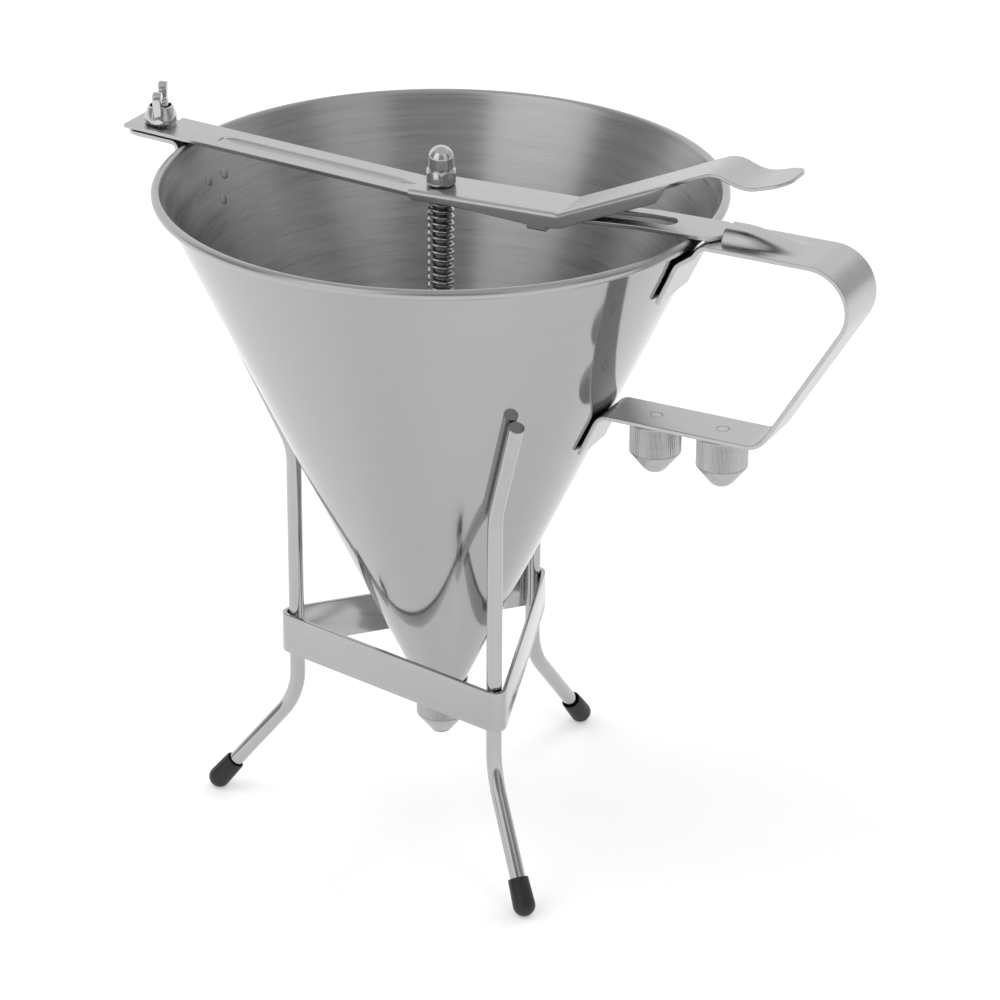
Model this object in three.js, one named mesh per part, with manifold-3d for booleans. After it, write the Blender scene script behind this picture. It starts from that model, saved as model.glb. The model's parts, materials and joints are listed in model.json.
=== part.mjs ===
// A hand-held dispensing funnel: a steel cone on a three-legged stand, closed at its outlet by a
// sprung valve rod that a thumb lever above the handle lifts.
// Millimetres, +Z up. The handle points along +X, and the origin is on the floor under the middle
// of the whole object. Pieces are first placed about the funnel's axis.
import * as THREE from "three";
import { mergeVertices } from "three/addons/utils/BufferGeometryUtils.js";
import Module from "manifold-3d";

const wasm = await Module();
wasm.setup();

// Shared values

const seatGap = 0.3; // between pieces that touch, and round a shaft in its hole
const overrun = 2; // how far a cut runs past what it cuts
const roundSides = 24; // sides of a small turned piece
const arcSteps = 5; // stations of a rounded end
const bendStepDegrees = 10; // largest turn between two stations of a bend

// The cone and its outlet

const cone = {
  halfAngleDegrees: 24.9,
  topRadius: 96.4, // of its outside, level with the middle of the bead
  wall: 0.8,
  bottomRadius: 9.15, // of its outside, where the spout takes over
  bottomZ: 52.94, // above the floor, as the stand holds it
  sides: 90,
};
const bead = {
  radius: 1.75, // of the rolled edge itself
  outset: 0.6, // of its middle from the cone's outside
  sides: 12,
};
const spout = {
  flangeRadius: 9.6,
  flangeHeight: 2.5,
  boreRadius: 5,
  mouthDepth: 3.3, // the bore widens to the cone's inside over this depth
  threadRadius: 6.8,
  threadLength: 8.3,
};
const nozzle = {
  radius: 8.9,
  gripHeight: 11,
  tipHeight: 7.4,
  tipRadius: 3.5,
  tipRound: 0.8,
  seatTopRadius: 4.15, // the conical seat under the socket
  seatDepth: 3.7,
  topChamfer: 0.5,
};
const boreRadius = { fitted: 3, inner: 2, outer: 2.5 };
const seal = {
  innerRadius: 5.2,
  thickness: 1,
};

// The sprung valve

const rodRadius = 3;
const plug = {
  radius: 4.4,
  tipBelowSeat: 0.7, // its end dips this far into the nozzle's bore
  bodyHeight: 15.5,
  socketDepth: 12,
};
const spring = {
  wireRadius: 0.6,
  coilRadius: 4.2, // to the middle of the wire
  pitch: 2.8,
  endPitch: 2.05, // the curls lie closer at both ends
  easeCurls: 4,
  curls: 25,
  stepsPerCurl: 8,
  wireSides: 5,
};
const collar = {
  radius: 5.6,
  height: 4.4,
  pinRadius: 0.8,
  pinSunk: 0.2, // how far the pin's ends lie inside the collar
};
const nut = {
  acrossFlats: 10,
  hexHeight: 5.2,
  height: 13.4,
  domeRadius: 4.55,
  boreDepth: 11.4,
  boreSlack: 1, // left over the rod's end
};

// The cross bar that carries the valve, from the bracket on the left to the pocket in the handle.
// From here to the handle, a size named out or in lies that far beyond or short of the middle of
// the bead on its own side, and a rise or drop that far above or below it. The bar's rises are
// those of its top face.

const bar = {
  width: 17,
  thickness: 1.5,
  leftOut: 25,
  leftRise: 5.2,
  valleyX: 14, // from the axis
  valleyRise: -1.35,
  shoulderIn: 19,
  shoulderRise: 3.2,
  endOut: 17,
  endRise: 3.75,
  valleyBend: 40,
  shoulderBend: 60,
  neckOut: 7.2, // the end narrows to a tongue from here
  neckLength: 2.8,
  tongueWidth: 7.6,
  slotFromIn: 38.5,
  slotToIn: 8.5,
  slotWidth: 7,
};
const rib = {
  fromIn: 11,
  shortOfLever: 1,
  width: 5,
  height: 0.8,
  runOut: 6,
  steps: 6,
};
const clamp = {
  out: 14.7, // the stud
  studRadius: 2.9,
  studAboveBar: 9.6,
  slotWidth: 7.4,
};
const bracket = {
  width: 18,
  thickness: 1.5,
  tipRound: 6,
  shoulderRadius: 2.6,
  kneeRadius: 3,
  beadClearance: 0.5,
  kneeDrop: 6.2, // where it meets the cone
  footDrop: 24.9, // its lower end
};
const wing = {
  baseRadius: 5.8, // of the hub
  shoulderRadius: 4.4,
  hubHeight: 6,
  height: 12.8,
  thickness: 3.1,
  inner: 3.4,
  reach: 8.6,
  turnDegrees: 112,
};

// The thumb lever: a channel over the bar, then a paddle. Its rises are those of the middle of its
// sheet, seen from the side. A place named X is measured from the axis.

const lever = {
  sideClearance: 0.4,
  sheet: 1.1,
  leftX: -7.8,
  leftRise: 0.65,
  bendX: 48.5,
  bendRise: 1.92,
  crestOut: 8.5,
  crestRise: 26.7,
  dipOut: 19.5,
  dipRise: 22.7,
  tipOut: 34.5,
  tipRise: 27.1,
  bendRadius: 4,
  crestRadius: 10,
  dipRadius: 14,
  tipRound: 7,
  leftDepth: 2.9, // from the middle of the sheet down to the walls' lower edge
  pivotDepth: 4.9,
  armDepth: 4.6,
  cornerRound: 1.4,
  deepenX: 11, // the walls deepen from here
  armX: 53,
  runOutIn: 13, // and run out between here and there
  channelEndIn: 4.6,
  lugFromX: 37.6,
  lugToX: 45.1,
  lugDepth: 5.2,
  lugReach: 3, // how far a lug reaches in under the bar
  slotBack: 1.1, // extra length of the rod's slot, for the lever's tilt
};

// The handle: one strip from under the rim, round the hand and back to the cone

const handle = {
  thickness: 1.5,
  topWidth: 25,
  bendWidth: 24,
  bottomWidth: 19,
  topFlangeDrop: 21.9, // its upper end, on the cone
  topKneeDrop: 6.9,
  topRise: 1.1, // middle of the top strip
  slopeOut: 35.75, // a point on the middle of the sloping strip
  slopeDrop: 54.2,
  slopeDegrees: 30.9, // from upright
  bottomDrop: 68.25, // middle of the bottom strip
  bottomFlangeDrop: 83.9, // its lower end, on the cone
  beadClearance: 0.6,
  shoulderRadius: 1.2,
  kneeRadius: 6,
  outerRadius: 15,
  lowerRadius: 9,
  footRadius: 5,
};
const pocket = {
  mouthOut: 10.6,
  straightToOut: 15,
  endOut: 39,
  halfWidth: 8,
  rise: 4.3,
  lap: 0.4, // how far its edge laps into the strip
  columns: 17,
  stations: 14,
};
const pocketTopShare = 0.5; // of the half width, flat on top
const post = {
  innerIn: 14.3,
  spacing: 24.9,
  radius: 6.6,
  length: 9,
  shankRadius: 2.1,
};

// The stand

const leg = {
  radius: 2.75, // of the wire
  uprightRadius: 53, // from the axis to its upright part
  bendZ: 41, // where it splays
  splayDegrees: 38.8,
  topZ: 181.5,
  lowBend: 14,
  topBend: 10,
  sides: 10,
};
const legTurns = [
  { side: "front", degrees: -41.7 },
  { side: "back", degrees: 78.3 },
  { side: "left", degrees: 198.3 },
];
const band = {
  bottomZ: 59.3,
  height: 15.2,
  thickness: 1.5,
};
const foot = {
  mouthRadius: 3.65,
  endRadius: 4,
  length: 12, // from its mouth to the middle of its round end
  flat: 0.5, // how much of the round end is cut off by the floor
  socketDepth: 10,
};

// Worked out from the values above

const radians = THREE.MathUtils.degToRad;
const coneSlope = Math.tan(radians(cone.halfAngleDegrees));
const coneCos = Math.cos(radians(cone.halfAngleDegrees));
const coneBottomInner = cone.bottomRadius - cone.wall / coneCos;
const beadZ = cone.bottomZ + (cone.topRadius - cone.bottomRadius) / coneSlope;
const beadRadius = cone.topRadius + bead.outset;
const clampX = -beadRadius - clamp.out;
const barLeftX = -beadRadius - bar.leftOut;
const barLeftZ = beadZ + bar.leftRise;
const barValleyZ = beadZ + bar.valleyRise;
const leverLeftZ = beadZ + lever.leftRise;
const leverBendZ = beadZ + lever.bendRise;
const leverTipX = beadRadius + lever.tipOut;
const handleTopZ = beadZ + handle.topRise;
const handleSlopeZ = beadZ - handle.slopeDrop;
const handleBottomZ = beadZ - handle.bottomDrop;
const pocketMouthX = beadRadius + pocket.mouthOut;
const postX = beadRadius - post.innerIn;
const spoutTop = cone.bottomZ - seatGap;
const threadTop = spoutTop - spout.flangeHeight;
const threadBottom = threadTop - spout.threadLength;
const nozzleTop = threadTop - seatGap;
const socketRadius = spout.threadRadius + seatGap;
const sealBottom = threadBottom - seatGap - seal.thickness;
const socketDepth = nozzleTop - sealBottom + seatGap;
const seatBottom = nozzleTop - socketDepth - nozzle.seatDepth;
const seatSlope = (nozzle.seatTopRadius - boreRadius.fitted) / nozzle.seatDepth;
const plugTip = seatBottom - plug.tipBelowSeat;
const plugTipRadius =
  boreRadius.fitted - seatGap * Math.hypot(1, seatSlope) - plug.tipBelowSeat * seatSlope;
const plugConeTop = plugTip + (plug.radius - plugTipRadius) / seatSlope;
const plugTop = plugConeTop + plug.bodyHeight;
const rodBottom = plugTop - plug.socketDepth + seatGap;
const leverInner = bar.width / 2 + lever.sideClearance;
const leverOuter = leverInner + lever.sheet;
const nutCorner = nut.acrossFlats / Math.sqrt(3);
const nutBase = leverMiddle(nutCorner) + lever.sheet / 2 + seatGap;
const rodTop = nutBase + nut.boreDepth - nut.boreSlack;
const springTop = barTop(spring.coilRadius + spring.wireRadius) - bar.thickness - seatGap;
const springLength = springDrop(spring.curls) + 2 * spring.wireRadius;
const collarTop = springTop - springLength - seatGap;
const legClearance = leg.radius + seatGap;

// Distance from the axis of a line that stands the given clearance off the cone's outside.
function offCone(z, clearance) {
  return cone.topRadius - (beadZ - z) * coneSlope + clearance / coneCos;
}

// Height at which that line stands at the given distance from the axis.
function offConeZ(distance, clearance) {
  return beadZ - (cone.topRadius + clearance / coneCos - distance) / coneSlope;
}

// Interpolates between [x, value] pairs in order of x.
function between(table, x) {
  if (x <= table[0][0]) return table[0][1];
  for (let i = 1; i < table.length; i++) {
    const [x1, v1] = table[i];
    const [x0, v0] = table[i - 1];
    if (x <= x1) return v0 + ((v1 - v0) * (x - x0)) / (x1 - x0);
  }
  return table[table.length - 1][1];
}

// Height of the bar's top face.
function barTop(x) {
  const corners = [
    [barLeftX, barLeftZ],
    [bar.valleyX, barValleyZ],
    [beadRadius - bar.shoulderIn, beadZ + bar.shoulderRise],
    [beadRadius + bar.endOut, beadZ + bar.endRise],
  ];
  return between(corners, x);
}

// Height of the middle of the lever's sheet, up to its crest.
function leverMiddle(x) {
  const corners = [
    [lever.leftX, leverLeftZ],
    [lever.bendX, leverBendZ],
    [beadRadius + lever.crestOut, beadZ + lever.crestRise],
  ];
  return between(corners, x);
}

// Solids

function solid(geometry) {
  const bare = geometry.clone();
  bare.deleteAttribute("normal");
  bare.deleteAttribute("uv");
  const merged = mergeVertices(bare);
  const old = merged.index.array;
  const index = [];
  for (let i = 0; i < old.length; i += 3) {
    const [a, b, c] = [old[i], old[i + 1], old[i + 2]];
    if (a !== b && b !== c && c !== a) index.push(a, b, c);
  }
  return new wasm.Manifold(
    new wasm.Mesh({
      numProp: 3,
      vertProperties: merged.attributes.position.array,
      triVerts: new Uint32Array(index),
    }),
  );
}

function geometryOf(shape) {
  const mesh = shape.getMesh();
  const geometry = new THREE.BufferGeometry();
  const positions = new THREE.BufferAttribute(mesh.vertProperties, 3);
  geometry.setAttribute("position", positions);
  geometry.setIndex(new THREE.BufferAttribute(mesh.triVerts, 1));
  geometry.computeVertexNormals();
  return geometry;
}

// Turns every face round where a shape was made inside out.
function facingOut(geometry) {
  const g = geometry.index ? geometry.toNonIndexed() : geometry.clone();
  const p = g.getAttribute("position");
  const [a, b, c] = [0, 1, 2].map(() => new THREE.Vector3());
  const read = (i) => [a, b, c].forEach((v, k) => v.fromBufferAttribute(p, i + k));
  let volume = 0;
  for (let i = 0; i < p.count; i += 3) {
    read(i);
    volume += a.dot(b.clone().cross(c));
  }
  if (volume < 0) {
    for (let i = 0; i < p.count; i += 3) {
      read(i);
      p.setXYZ(i + 1, c.x, c.y, c.z);
      p.setXYZ(i + 2, b.x, b.y, b.z);
    }
  }
  g.computeVertexNormals();
  return g;
}

function bufferGeometry(points, index) {
  const geometry = new THREE.BufferGeometry();
  const positions = points.flatMap((v) => [v.x, v.y, v.z]);
  geometry.setAttribute("position", new THREE.Float32BufferAttribute(positions, 3));
  geometry.setIndex(index);
  return facingOut(geometry);
}

// Faces of a tube between sections with equally many points.
function tubeFaces(sections) {
  const count = sections[0].length;
  const index = [];
  for (let s = 0; s + 1 < sections.length; s++) {
    for (let i = 0; i < count; i++) {
      const a = s * count + i;
      const b = s * count + ((i + 1) % count);
      index.push(a, b, b + count, a, b + count, a + count);
    }
  }
  return index;
}

// A closed skin over a row of sections, with a cap at each end. A section's first half runs one
// way, and its second half runs back beside it.
function skin(sections) {
  const count = sections[0].length;
  const index = tubeFaces(sections);
  const last = (sections.length - 1) * count;
  for (let i = 0; i + 1 < count / 2; i++) {
    const [a, b, c, d] = [i, i + 1, count - 2 - i, count - 1 - i];
    index.push(a, d, c, a, c, b);
    index.push(last + a, last + b, last + c, last + a, last + c, last + d);
  }
  return bufferGeometry(sections.flat(), index);
}

// Turned about Z from a profile of [radius, z] pairs that starts and ends on the axis.
function turned(profile, sides = roundSides) {
  const points = profile.map(([r, z]) => new THREE.Vector2(r, z));
  return facingOut(new THREE.LatheGeometry(points, sides).rotateX(Math.PI / 2));
}

// Turned about Z from a profile that closes on itself.
function turnedRing(profile, sides = roundSides) {
  return turned([...profile, profile[0]], sides);
}

// An outline of [x, z] pairs made into a plate from y = from to y = to.
function sidePlate(outline, from, to) {
  const shape = new THREE.Shape(outline.map(([x, z]) => new THREE.Vector2(x, z)));
  const plate = new THREE.ExtrudeGeometry(shape, { depth: to - from, bevelEnabled: false });
  return facingOut(plate.rotateX(Math.PI / 2).translate(0, to, 0));
}

function box(x0, x1, y0, y1, z0, z1) {
  const middle = [(x0 + x1) / 2, (y0 + y1) / 2, (z0 + z1) / 2];
  return new THREE.BoxGeometry(x1 - x0, y1 - y0, z1 - z0).translate(...middle);
}

// An upright cylinder.
function peg(radius, z0, z1, x = 0) {
  return new THREE.CylinderGeometry(radius, radius, z1 - z0, roundSides)
    .rotateX(Math.PI / 2)
    .translate(x, 0, (z0 + z1) / 2);
}

// An upright cut with round ends, from x0 to x1.
function slotCut(x0, x1, width, z0, z1) {
  const r = width / 2;
  return solid(peg(r, z0, z1, x0 + r))
    .add(solid(peg(r, z0, z1, x1 - r)))
    .add(solid(box(x0 + r, x1 - r, -r, r, z0, z1)));
}

// Bent strips and rods

// A path in the XZ plane through the given corners, each rounded by its own radius.
function bentPath(corners) {
  const spots = corners.map(({ x, z }) => new THREE.Vector2(x, z));
  return corners.flatMap(({ radius }, i) => {
    const here = spots[i];
    if (!radius) return [here];
    const into = here.clone().sub(spots[i - 1]).normalize();
    const out = spots[i + 1].clone().sub(here).normalize();
    const turn = Math.atan2(into.cross(out), into.dot(out));
    const reach = radius * Math.tan(Math.abs(turn) / 2);
    const arm = new THREE.Vector2(into.y, -into.x).multiplyScalar(Math.sign(turn) * radius);
    const centre = here.clone().addScaledVector(into, -reach).sub(arm);
    const steps = Math.max(2, Math.ceil(Math.abs(turn) / radians(bendStepDegrees)));
    const origin = new THREE.Vector2();
    return Array.from({ length: steps + 1 }, (_, k) =>
      arm.clone().rotateAround(origin, (turn * k) / steps).add(centre),
    );
  });
}

// Points of a straight run that ends in a rounding, set closer towards its end.
function roundedRun(from, to, round) {
  const share = round / Math.hypot(to.x - from.x, to.z - from.z);
  return Array.from({ length: arcSteps + 1 }, (_, i) => {
    const t = 1 - share * (1 - Math.sin(((Math.PI / 2) * i) / arcSteps));
    return { x: from.x + (to.x - from.x) * t, z: from.z + (to.z - from.z) * t };
  });
}

// What a rounded end takes off a width, this far from the end.
function roundedOff(distance, round) {
  const t = Math.min(Math.max(1 - distance / round, 0), 1);
  return 2 * round * (1 - Math.sqrt(1 - t * t));
}

// Sideways directions of a path, lengthened at its bends so that offset sides keep their
// distance, and its own directions there.
function pathFrames(path) {
  return path.map((point, i) => {
    const into = point.clone().sub(path[Math.max(i - 1, 0)]);
    const out = path[Math.min(i + 1, path.length - 1)].clone().sub(point);
    if (!i) into.copy(out);
    if (i === path.length - 1) out.copy(into);
    into.normalize();
    out.normalize();
    const tangent = into.add(out).normalize();
    const side = new THREE.Vector2(-tangent.y, tangent.x).divideScalar(tangent.dot(out));
    return { side, tangent };
  });
}

// A flat strip bent along a path in the XZ plane, as wide across Y as widthAt says.
function strip(path, thickness, widthAt) {
  const frames = pathFrames(path);
  return skin(
    path.map((p, i) => {
      const half = widthAt(p.x, p.y) / 2;
      const up = frames[i].side.clone().multiplyScalar(thickness / 2);
      return [
        new THREE.Vector3(p.x + up.x, -half, p.y + up.y),
        new THREE.Vector3(p.x + up.x, half, p.y + up.y),
        new THREE.Vector3(p.x - up.x, half, p.y - up.y),
        new THREE.Vector3(p.x - up.x, -half, p.y - up.y),
      ];
    }),
  );
}

// The middle line of a bent rod, with a station at each point of its path.
class RodCurve extends THREE.Curve {
  constructor(path) {
    super();
    this.path = path;
    this.frames = pathFrames(path);
  }

  getUtoTmapping(u) {
    return u;
  }

  getPoint(t) {
    const point = this.path[Math.round(t * (this.path.length - 1))];
    return new THREE.Vector3(point.x, 0, point.y);
  }

  getTangent(t) {
    const { tangent } = this.frames[Math.round(t * (this.path.length - 1))];
    return new THREE.Vector3(tangent.x, 0, tangent.y);
  }
}

// Materials

function metal(name, color, roughness) {
  return new THREE.MeshStandardMaterial({ name, color, roughness, metalness: 1 });
}

function rubber(name, color) {
  return new THREE.MeshStandardMaterial({ name, color, roughness: 0.8, metalness: 0 });
}

const materials = {
  polished: () => metal("polished_steel", 0xc9cac8, 0.18),
  brushed: () => metal("brushed_steel", 0xbcbdbb, 0.32),
  machined: () => metal("machined_steel", 0xb4b5b2, 0.38),
  wire: () => metal("wire_steel", 0xc2c3c1, 0.24),
  blackRubber: () => rubber("black_rubber", 0x1b1b1c),
  whiteSilicone: () => rubber("white_silicone", 0xe4e3de),
};

// The funnel's own pieces

function funnelCone() {
  const wallAcross = cone.wall / coneCos;
  const shell = turnedRing(
    [
      [cone.bottomRadius, cone.bottomZ],
      [cone.topRadius, beadZ],
      [cone.topRadius - wallAcross, beadZ],
      [coneBottomInner, cone.bottomZ],
    ],
    cone.sides,
  );
  const edge = Array.from({ length: bead.sides }, (_, i) => {
    const angle = (2 * Math.PI * i) / bead.sides;
    return [
      beadRadius + bead.radius * Math.cos(angle),
      beadZ + bead.radius * Math.sin(angle),
    ];
  });
  return geometryOf(solid(shell).add(solid(turnedRing(edge, cone.sides))));
}

function outletSpout() {
  return turnedRing([
    [spout.boreRadius, threadBottom],
    [spout.threadRadius, threadBottom],
    [spout.threadRadius, threadTop],
    [spout.flangeRadius, threadTop],
    [spout.flangeRadius, spoutTop],
    [coneBottomInner, spoutTop],
    [spout.boreRadius, spoutTop - spout.mouthDepth],
  ]);
}

// Hangs down from its socket's mouth at z = 0.
function nozzleShape(bore) {
  const tip = -nozzle.gripHeight - nozzle.tipHeight;
  return turnedRing([
    [socketRadius, 0],
    [nozzle.radius - nozzle.topChamfer, 0],
    [nozzle.radius, -nozzle.topChamfer],
    [nozzle.radius, -nozzle.gripHeight],
    [nozzle.tipRadius + nozzle.tipRound / 2, tip + nozzle.tipRound],
    [nozzle.tipRadius, tip],
    [bore, tip],
    [bore, -socketDepth - nozzle.seatDepth],
    [nozzle.seatTopRadius, -socketDepth],
    [socketRadius, -socketDepth],
  ]);
}

function ring(outer, inner, z0, z1) {
  return turnedRing([
    [inner, z0],
    [outer, z0],
    [outer, z1],
    [inner, z1],
  ]);
}

function nozzleSeal() {
  return ring(spout.threadRadius, seal.innerRadius, sealBottom, sealBottom + seal.thickness);
}

// The valve

function valvePlug() {
  const socket = rodRadius + seatGap;
  return turned([
    [0, plugTip],
    [plugTipRadius, plugTip],
    [plug.radius, plugConeTop],
    [plug.radius, plugTop],
    [socket, plugTop],
    [socket, plugTop - plug.socketDepth],
    [0, plugTop - plug.socketDepth],
  ]);
}

function collarPin(clearance, ends) {
  const length = 2 * (collar.radius - collar.pinSunk + ends);
  const radius = collar.pinRadius + clearance;
  return new THREE.CylinderGeometry(radius, radius, length, roundSides / 2)
    .rotateZ(Math.PI / 2)
    .translate(0, 0, collarTop - collar.height / 2);
}

function valveRod() {
  return geometryOf(
    solid(peg(rodRadius, rodBottom, rodTop)).subtract(solid(collarPin(seatGap, overrun))),
  );
}

function springCollar() {
  const body = ring(collar.radius, rodRadius + seatGap, collarTop - collar.height, collarTop);
  return geometryOf(solid(body).subtract(solid(collarPin(seatGap, overrun))));
}

// How far the wire has gone down after a number of curls.
function springDrop(curl) {
  const close = (n) =>
    (spring.pitch - spring.endPitch) *
    spring.easeCurls *
    (1 - Math.exp(-n / spring.easeCurls));
  const down = (n) => spring.pitch * n - close(n);
  const half = spring.curls / 2;
  return curl <= half ? down(curl) : 2 * down(half) - down(spring.curls - curl);
}

function springPoint(curl) {
  const angle = 2 * Math.PI * curl;
  return new THREE.Vector3(
    spring.coilRadius * Math.cos(angle),
    spring.coilRadius * Math.sin(angle),
    springTop - spring.wireRadius - springDrop(curl),
  );
}

// One unbroken wire.
function valveSpring() {
  const steps = spring.curls * spring.stepsPerCurl;
  const sections = Array.from({ length: steps + 1 }, (_, s) => {
    const centre = springPoint(s / spring.stepsPerCurl);
    const outward = new THREE.Vector3(centre.x, centre.y, 0).normalize();
    return Array.from({ length: spring.wireSides }, (_, k) => {
      const angle = (2 * Math.PI * k) / spring.wireSides;
      const point = centre.clone();
      point.addScaledVector(outward, spring.wireRadius * Math.cos(angle));
      point.z += spring.wireRadius * Math.sin(angle);
      return point;
    });
  });
  const index = tubeFaces(sections);
  const last = steps * spring.wireSides;
  for (let i = 1; i + 1 < spring.wireSides; i++) {
    index.push(0, i + 1, i);
    index.push(last, last + i, last + i + 1);
  }
  return bufferGeometry(sections.flat(), index);
}

// The least gap between the wire and itself, between points of its middle line at least half a
// curl apart.
function springGap() {
  const perCurl = 4 * spring.stepsPerCurl;
  const points = Array.from({ length: spring.curls * perCurl + 1 }, (_, i) =>
    springPoint(i / perCurl),
  );
  let least = Infinity;
  points.forEach((point, i) => {
    for (let j = i + perCurl / 2; j < points.length; j++)
      least = Math.min(least, point.distanceTo(points[j]));
  });
  return least - 2 * spring.wireRadius;
}

function acornNut() {
  const domeMiddle = nutBase + nut.height - nut.domeRadius;
  const hexMiddle = nutBase + nut.hexHeight / 2;
  const dome = [[0, hexMiddle]];
  dome.push([nut.domeRadius, hexMiddle]);
  for (let i = 0; i < arcSteps; i++) {
    const angle = ((Math.PI / 2) * i) / arcSteps;
    const out = nut.domeRadius * Math.cos(angle);
    dome.push([out, domeMiddle + nut.domeRadius * Math.sin(angle)]);
  }
  dome.push([0, nutBase + nut.height]);
  const hex = new THREE.CylinderGeometry(nutCorner, nutCorner, nut.hexHeight, 6)
    .rotateX(Math.PI / 2)
    .translate(0, 0, hexMiddle);
  const bore = peg(rodRadius + seatGap, nutBase - overrun, nutBase + nut.boreDepth);
  return geometryOf(solid(hex).add(solid(turned(dome))).subtract(solid(bore)));
}

// The cross bar and its clamp

// A pressed stiffening rib along the bar's left part, run out at both ends.
function barRib() {
  const fromX = rib.fromIn - beadRadius;
  const toX = lever.leftX - rib.shortOfLever;
  const ends = [
    [fromX, 0],
    [fromX + rib.runOut, rib.height],
    [toX - rib.runOut, rib.height],
    [toX, 0],
  ];
  const lowest = rib.height / rib.steps;
  return skin(
    ends.map(([x, height]) => {
      const top = [];
      const under = [];
      for (let k = 0; k <= rib.steps; k++) {
        const y = rib.width * (k / rib.steps - 1 / 2);
        const lift = Math.sin((Math.PI * k) / rib.steps) * Math.max(height, lowest);
        top.push(new THREE.Vector3(x, y, barTop(x) + lift));
        under.unshift(new THREE.Vector3(x, y, barTop(x) - bar.thickness / 2));
      }
      return [...top, ...under];
    }),
  );
}

function crossBar() {
  const at = (x, radius) => ({ x, z: barTop(x) - bar.thickness / 2, radius });
  const neckX = beadRadius + bar.neckOut;
  const neckEnd = neckX + bar.neckLength;
  const path = bentPath([
    at(barLeftX),
    at(bar.valleyX, bar.valleyBend),
    at(beadRadius - bar.shoulderIn, bar.shoulderBend),
    at(neckX),
    at(neckEnd),
    at(beadRadius + bar.endOut),
  ]);
  const widths = [
    [neckX, bar.width],
    [neckEnd, bar.tongueWidth],
  ];
  const low = barValleyZ - bar.thickness - overrun;
  const high = barLeftZ + overrun;
  const [slotFrom, slotTo] = [beadRadius - bar.slotFromIn, beadRadius - bar.slotToIn];
  const studHalf = clamp.slotWidth / 2;
  const side = box(clampX - studHalf, clampX + studHalf, 0, bar.width, low, high);
  return geometryOf(
    solid(strip(path, bar.thickness, (x) => between(widths, x)))
      .add(solid(barRib()))
      .subtract(solid(peg(rodRadius + seatGap, low, high)))
      .subtract(slotCut(slotFrom, slotTo, bar.slotWidth, low, high))
      .subtract(solid(peg(studHalf, low, high, clampX)).add(solid(side))),
  );
}

function barBracket() {
  const half = bracket.thickness / 2;
  const armZ = (x) => barTop(x) - bar.thickness - seatGap - half;
  const outX = -(beadRadius + bead.radius + bracket.beadClearance + half);
  const onCone = (drop) => ({ x: -offCone(beadZ - drop, seatGap + half), z: beadZ - drop });
  const arm = { x: outX, z: armZ(outX) };
  const tip = { x: barLeftX, z: armZ(barLeftX) };
  const path = bentPath([
    ...roundedRun(arm, tip, bracket.tipRound).reverse(),
    { ...arm, radius: bracket.shoulderRadius },
    { x: outX, z: beadZ - bead.radius, radius: bracket.shoulderRadius / 2 },
    { ...onCone(bracket.kneeDrop), radius: bracket.kneeRadius },
    onCone(bracket.footDrop),
  ]);
  const width = (x) => bracket.width - roundedOff(x - barLeftX, bracket.tipRound);
  const low = armZ(clampX) - overrun;
  const hole = peg(clamp.studRadius + seatGap, low, low + 2 * overrun, clampX);
  return geometryOf(solid(strip(path, bracket.thickness, width)).subtract(solid(hole)));
}

function clampStud() {
  const top = barTop(clampX) + clamp.studAboveBar;
  const bottom = barTop(clampX) - bar.thickness - seatGap - bracket.thickness;
  return peg(clamp.studRadius, bottom, top, clampX);
}

// Stands on z = 0 about its own axis, with its wings along X.
function wingNut() {
  const bore = clamp.studRadius + seatGap;
  const hub = turnedRing([
    [bore, 0],
    [wing.baseRadius, 0],
    [wing.baseRadius, wing.hubHeight / 3],
    [wing.shoulderRadius, wing.hubHeight],
    [bore, wing.hubHeight],
  ]);
  const middle = (wing.inner + wing.reach) / 2;
  const round = (wing.reach - wing.inner) / 2;
  const outline = [
    [wing.inner, wing.hubHeight / 4],
    [wing.baseRadius - seatGap, wing.hubHeight / 4],
  ];
  for (let i = 0; i <= arcSteps; i++) {
    const angle = (Math.PI * i) / arcSteps;
    outline.push([
      middle + round * Math.cos(angle),
      wing.height - round + round * Math.sin(angle),
    ]);
  }
  const half = wing.thickness / 2;
  const near = sidePlate(outline, -half, half);
  const far = near.clone().rotateZ(Math.PI);
  return geometryOf(
    solid(hub)
      .add(solid(near))
      .add(solid(far))
      .subtract(solid(peg(bore, -overrun, wing.height + overrun))),
  );
}

// The lever

// Outline of a side wall, which deepens at the pivot and runs out on the arm.
function leverWall() {
  const below = (x, depth) => [x, leverMiddle(x) - depth];
  return [
    [lever.leftX, leverLeftZ],
    [lever.bendX, leverBendZ],
    below(beadRadius - lever.channelEndIn, 0),
    below(beadRadius - lever.runOutIn, lever.armDepth),
    below(lever.armX, lever.armDepth),
    below(lever.lugToX, lever.pivotDepth),
    below(lever.lugFromX, lever.pivotDepth),
    below(lever.deepenX, lever.leftDepth),
    below(lever.leftX + lever.cornerRound, lever.leftDepth),
    below(lever.leftX, lever.leftDepth - lever.cornerRound),
  ];
}

// A lug at the lower edge of one side wall, folded in under the bar.
function leverLug(side) {
  const top = leverMiddle(lever.lugFromX) - lever.lugDepth;
  const tab = [
    [lever.lugFromX, top - lever.sheet],
    [lever.lugToX, top - lever.sheet],
    [lever.lugToX, top + lever.sheet],
    [lever.lugFromX, top + lever.sheet],
  ];
  const shelf = [tab[0], tab[1], [lever.lugToX, top], [lever.lugFromX, top]];
  const reach = leverInner - lever.lugReach;
  const plate = (outline, inner) =>
    side > 0
      ? solid(sidePlate(outline, inner, leverOuter))
      : solid(sidePlate(outline, -leverOuter, -inner));
  return plate(tab, leverInner).add(plate(shelf, reach));
}

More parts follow.
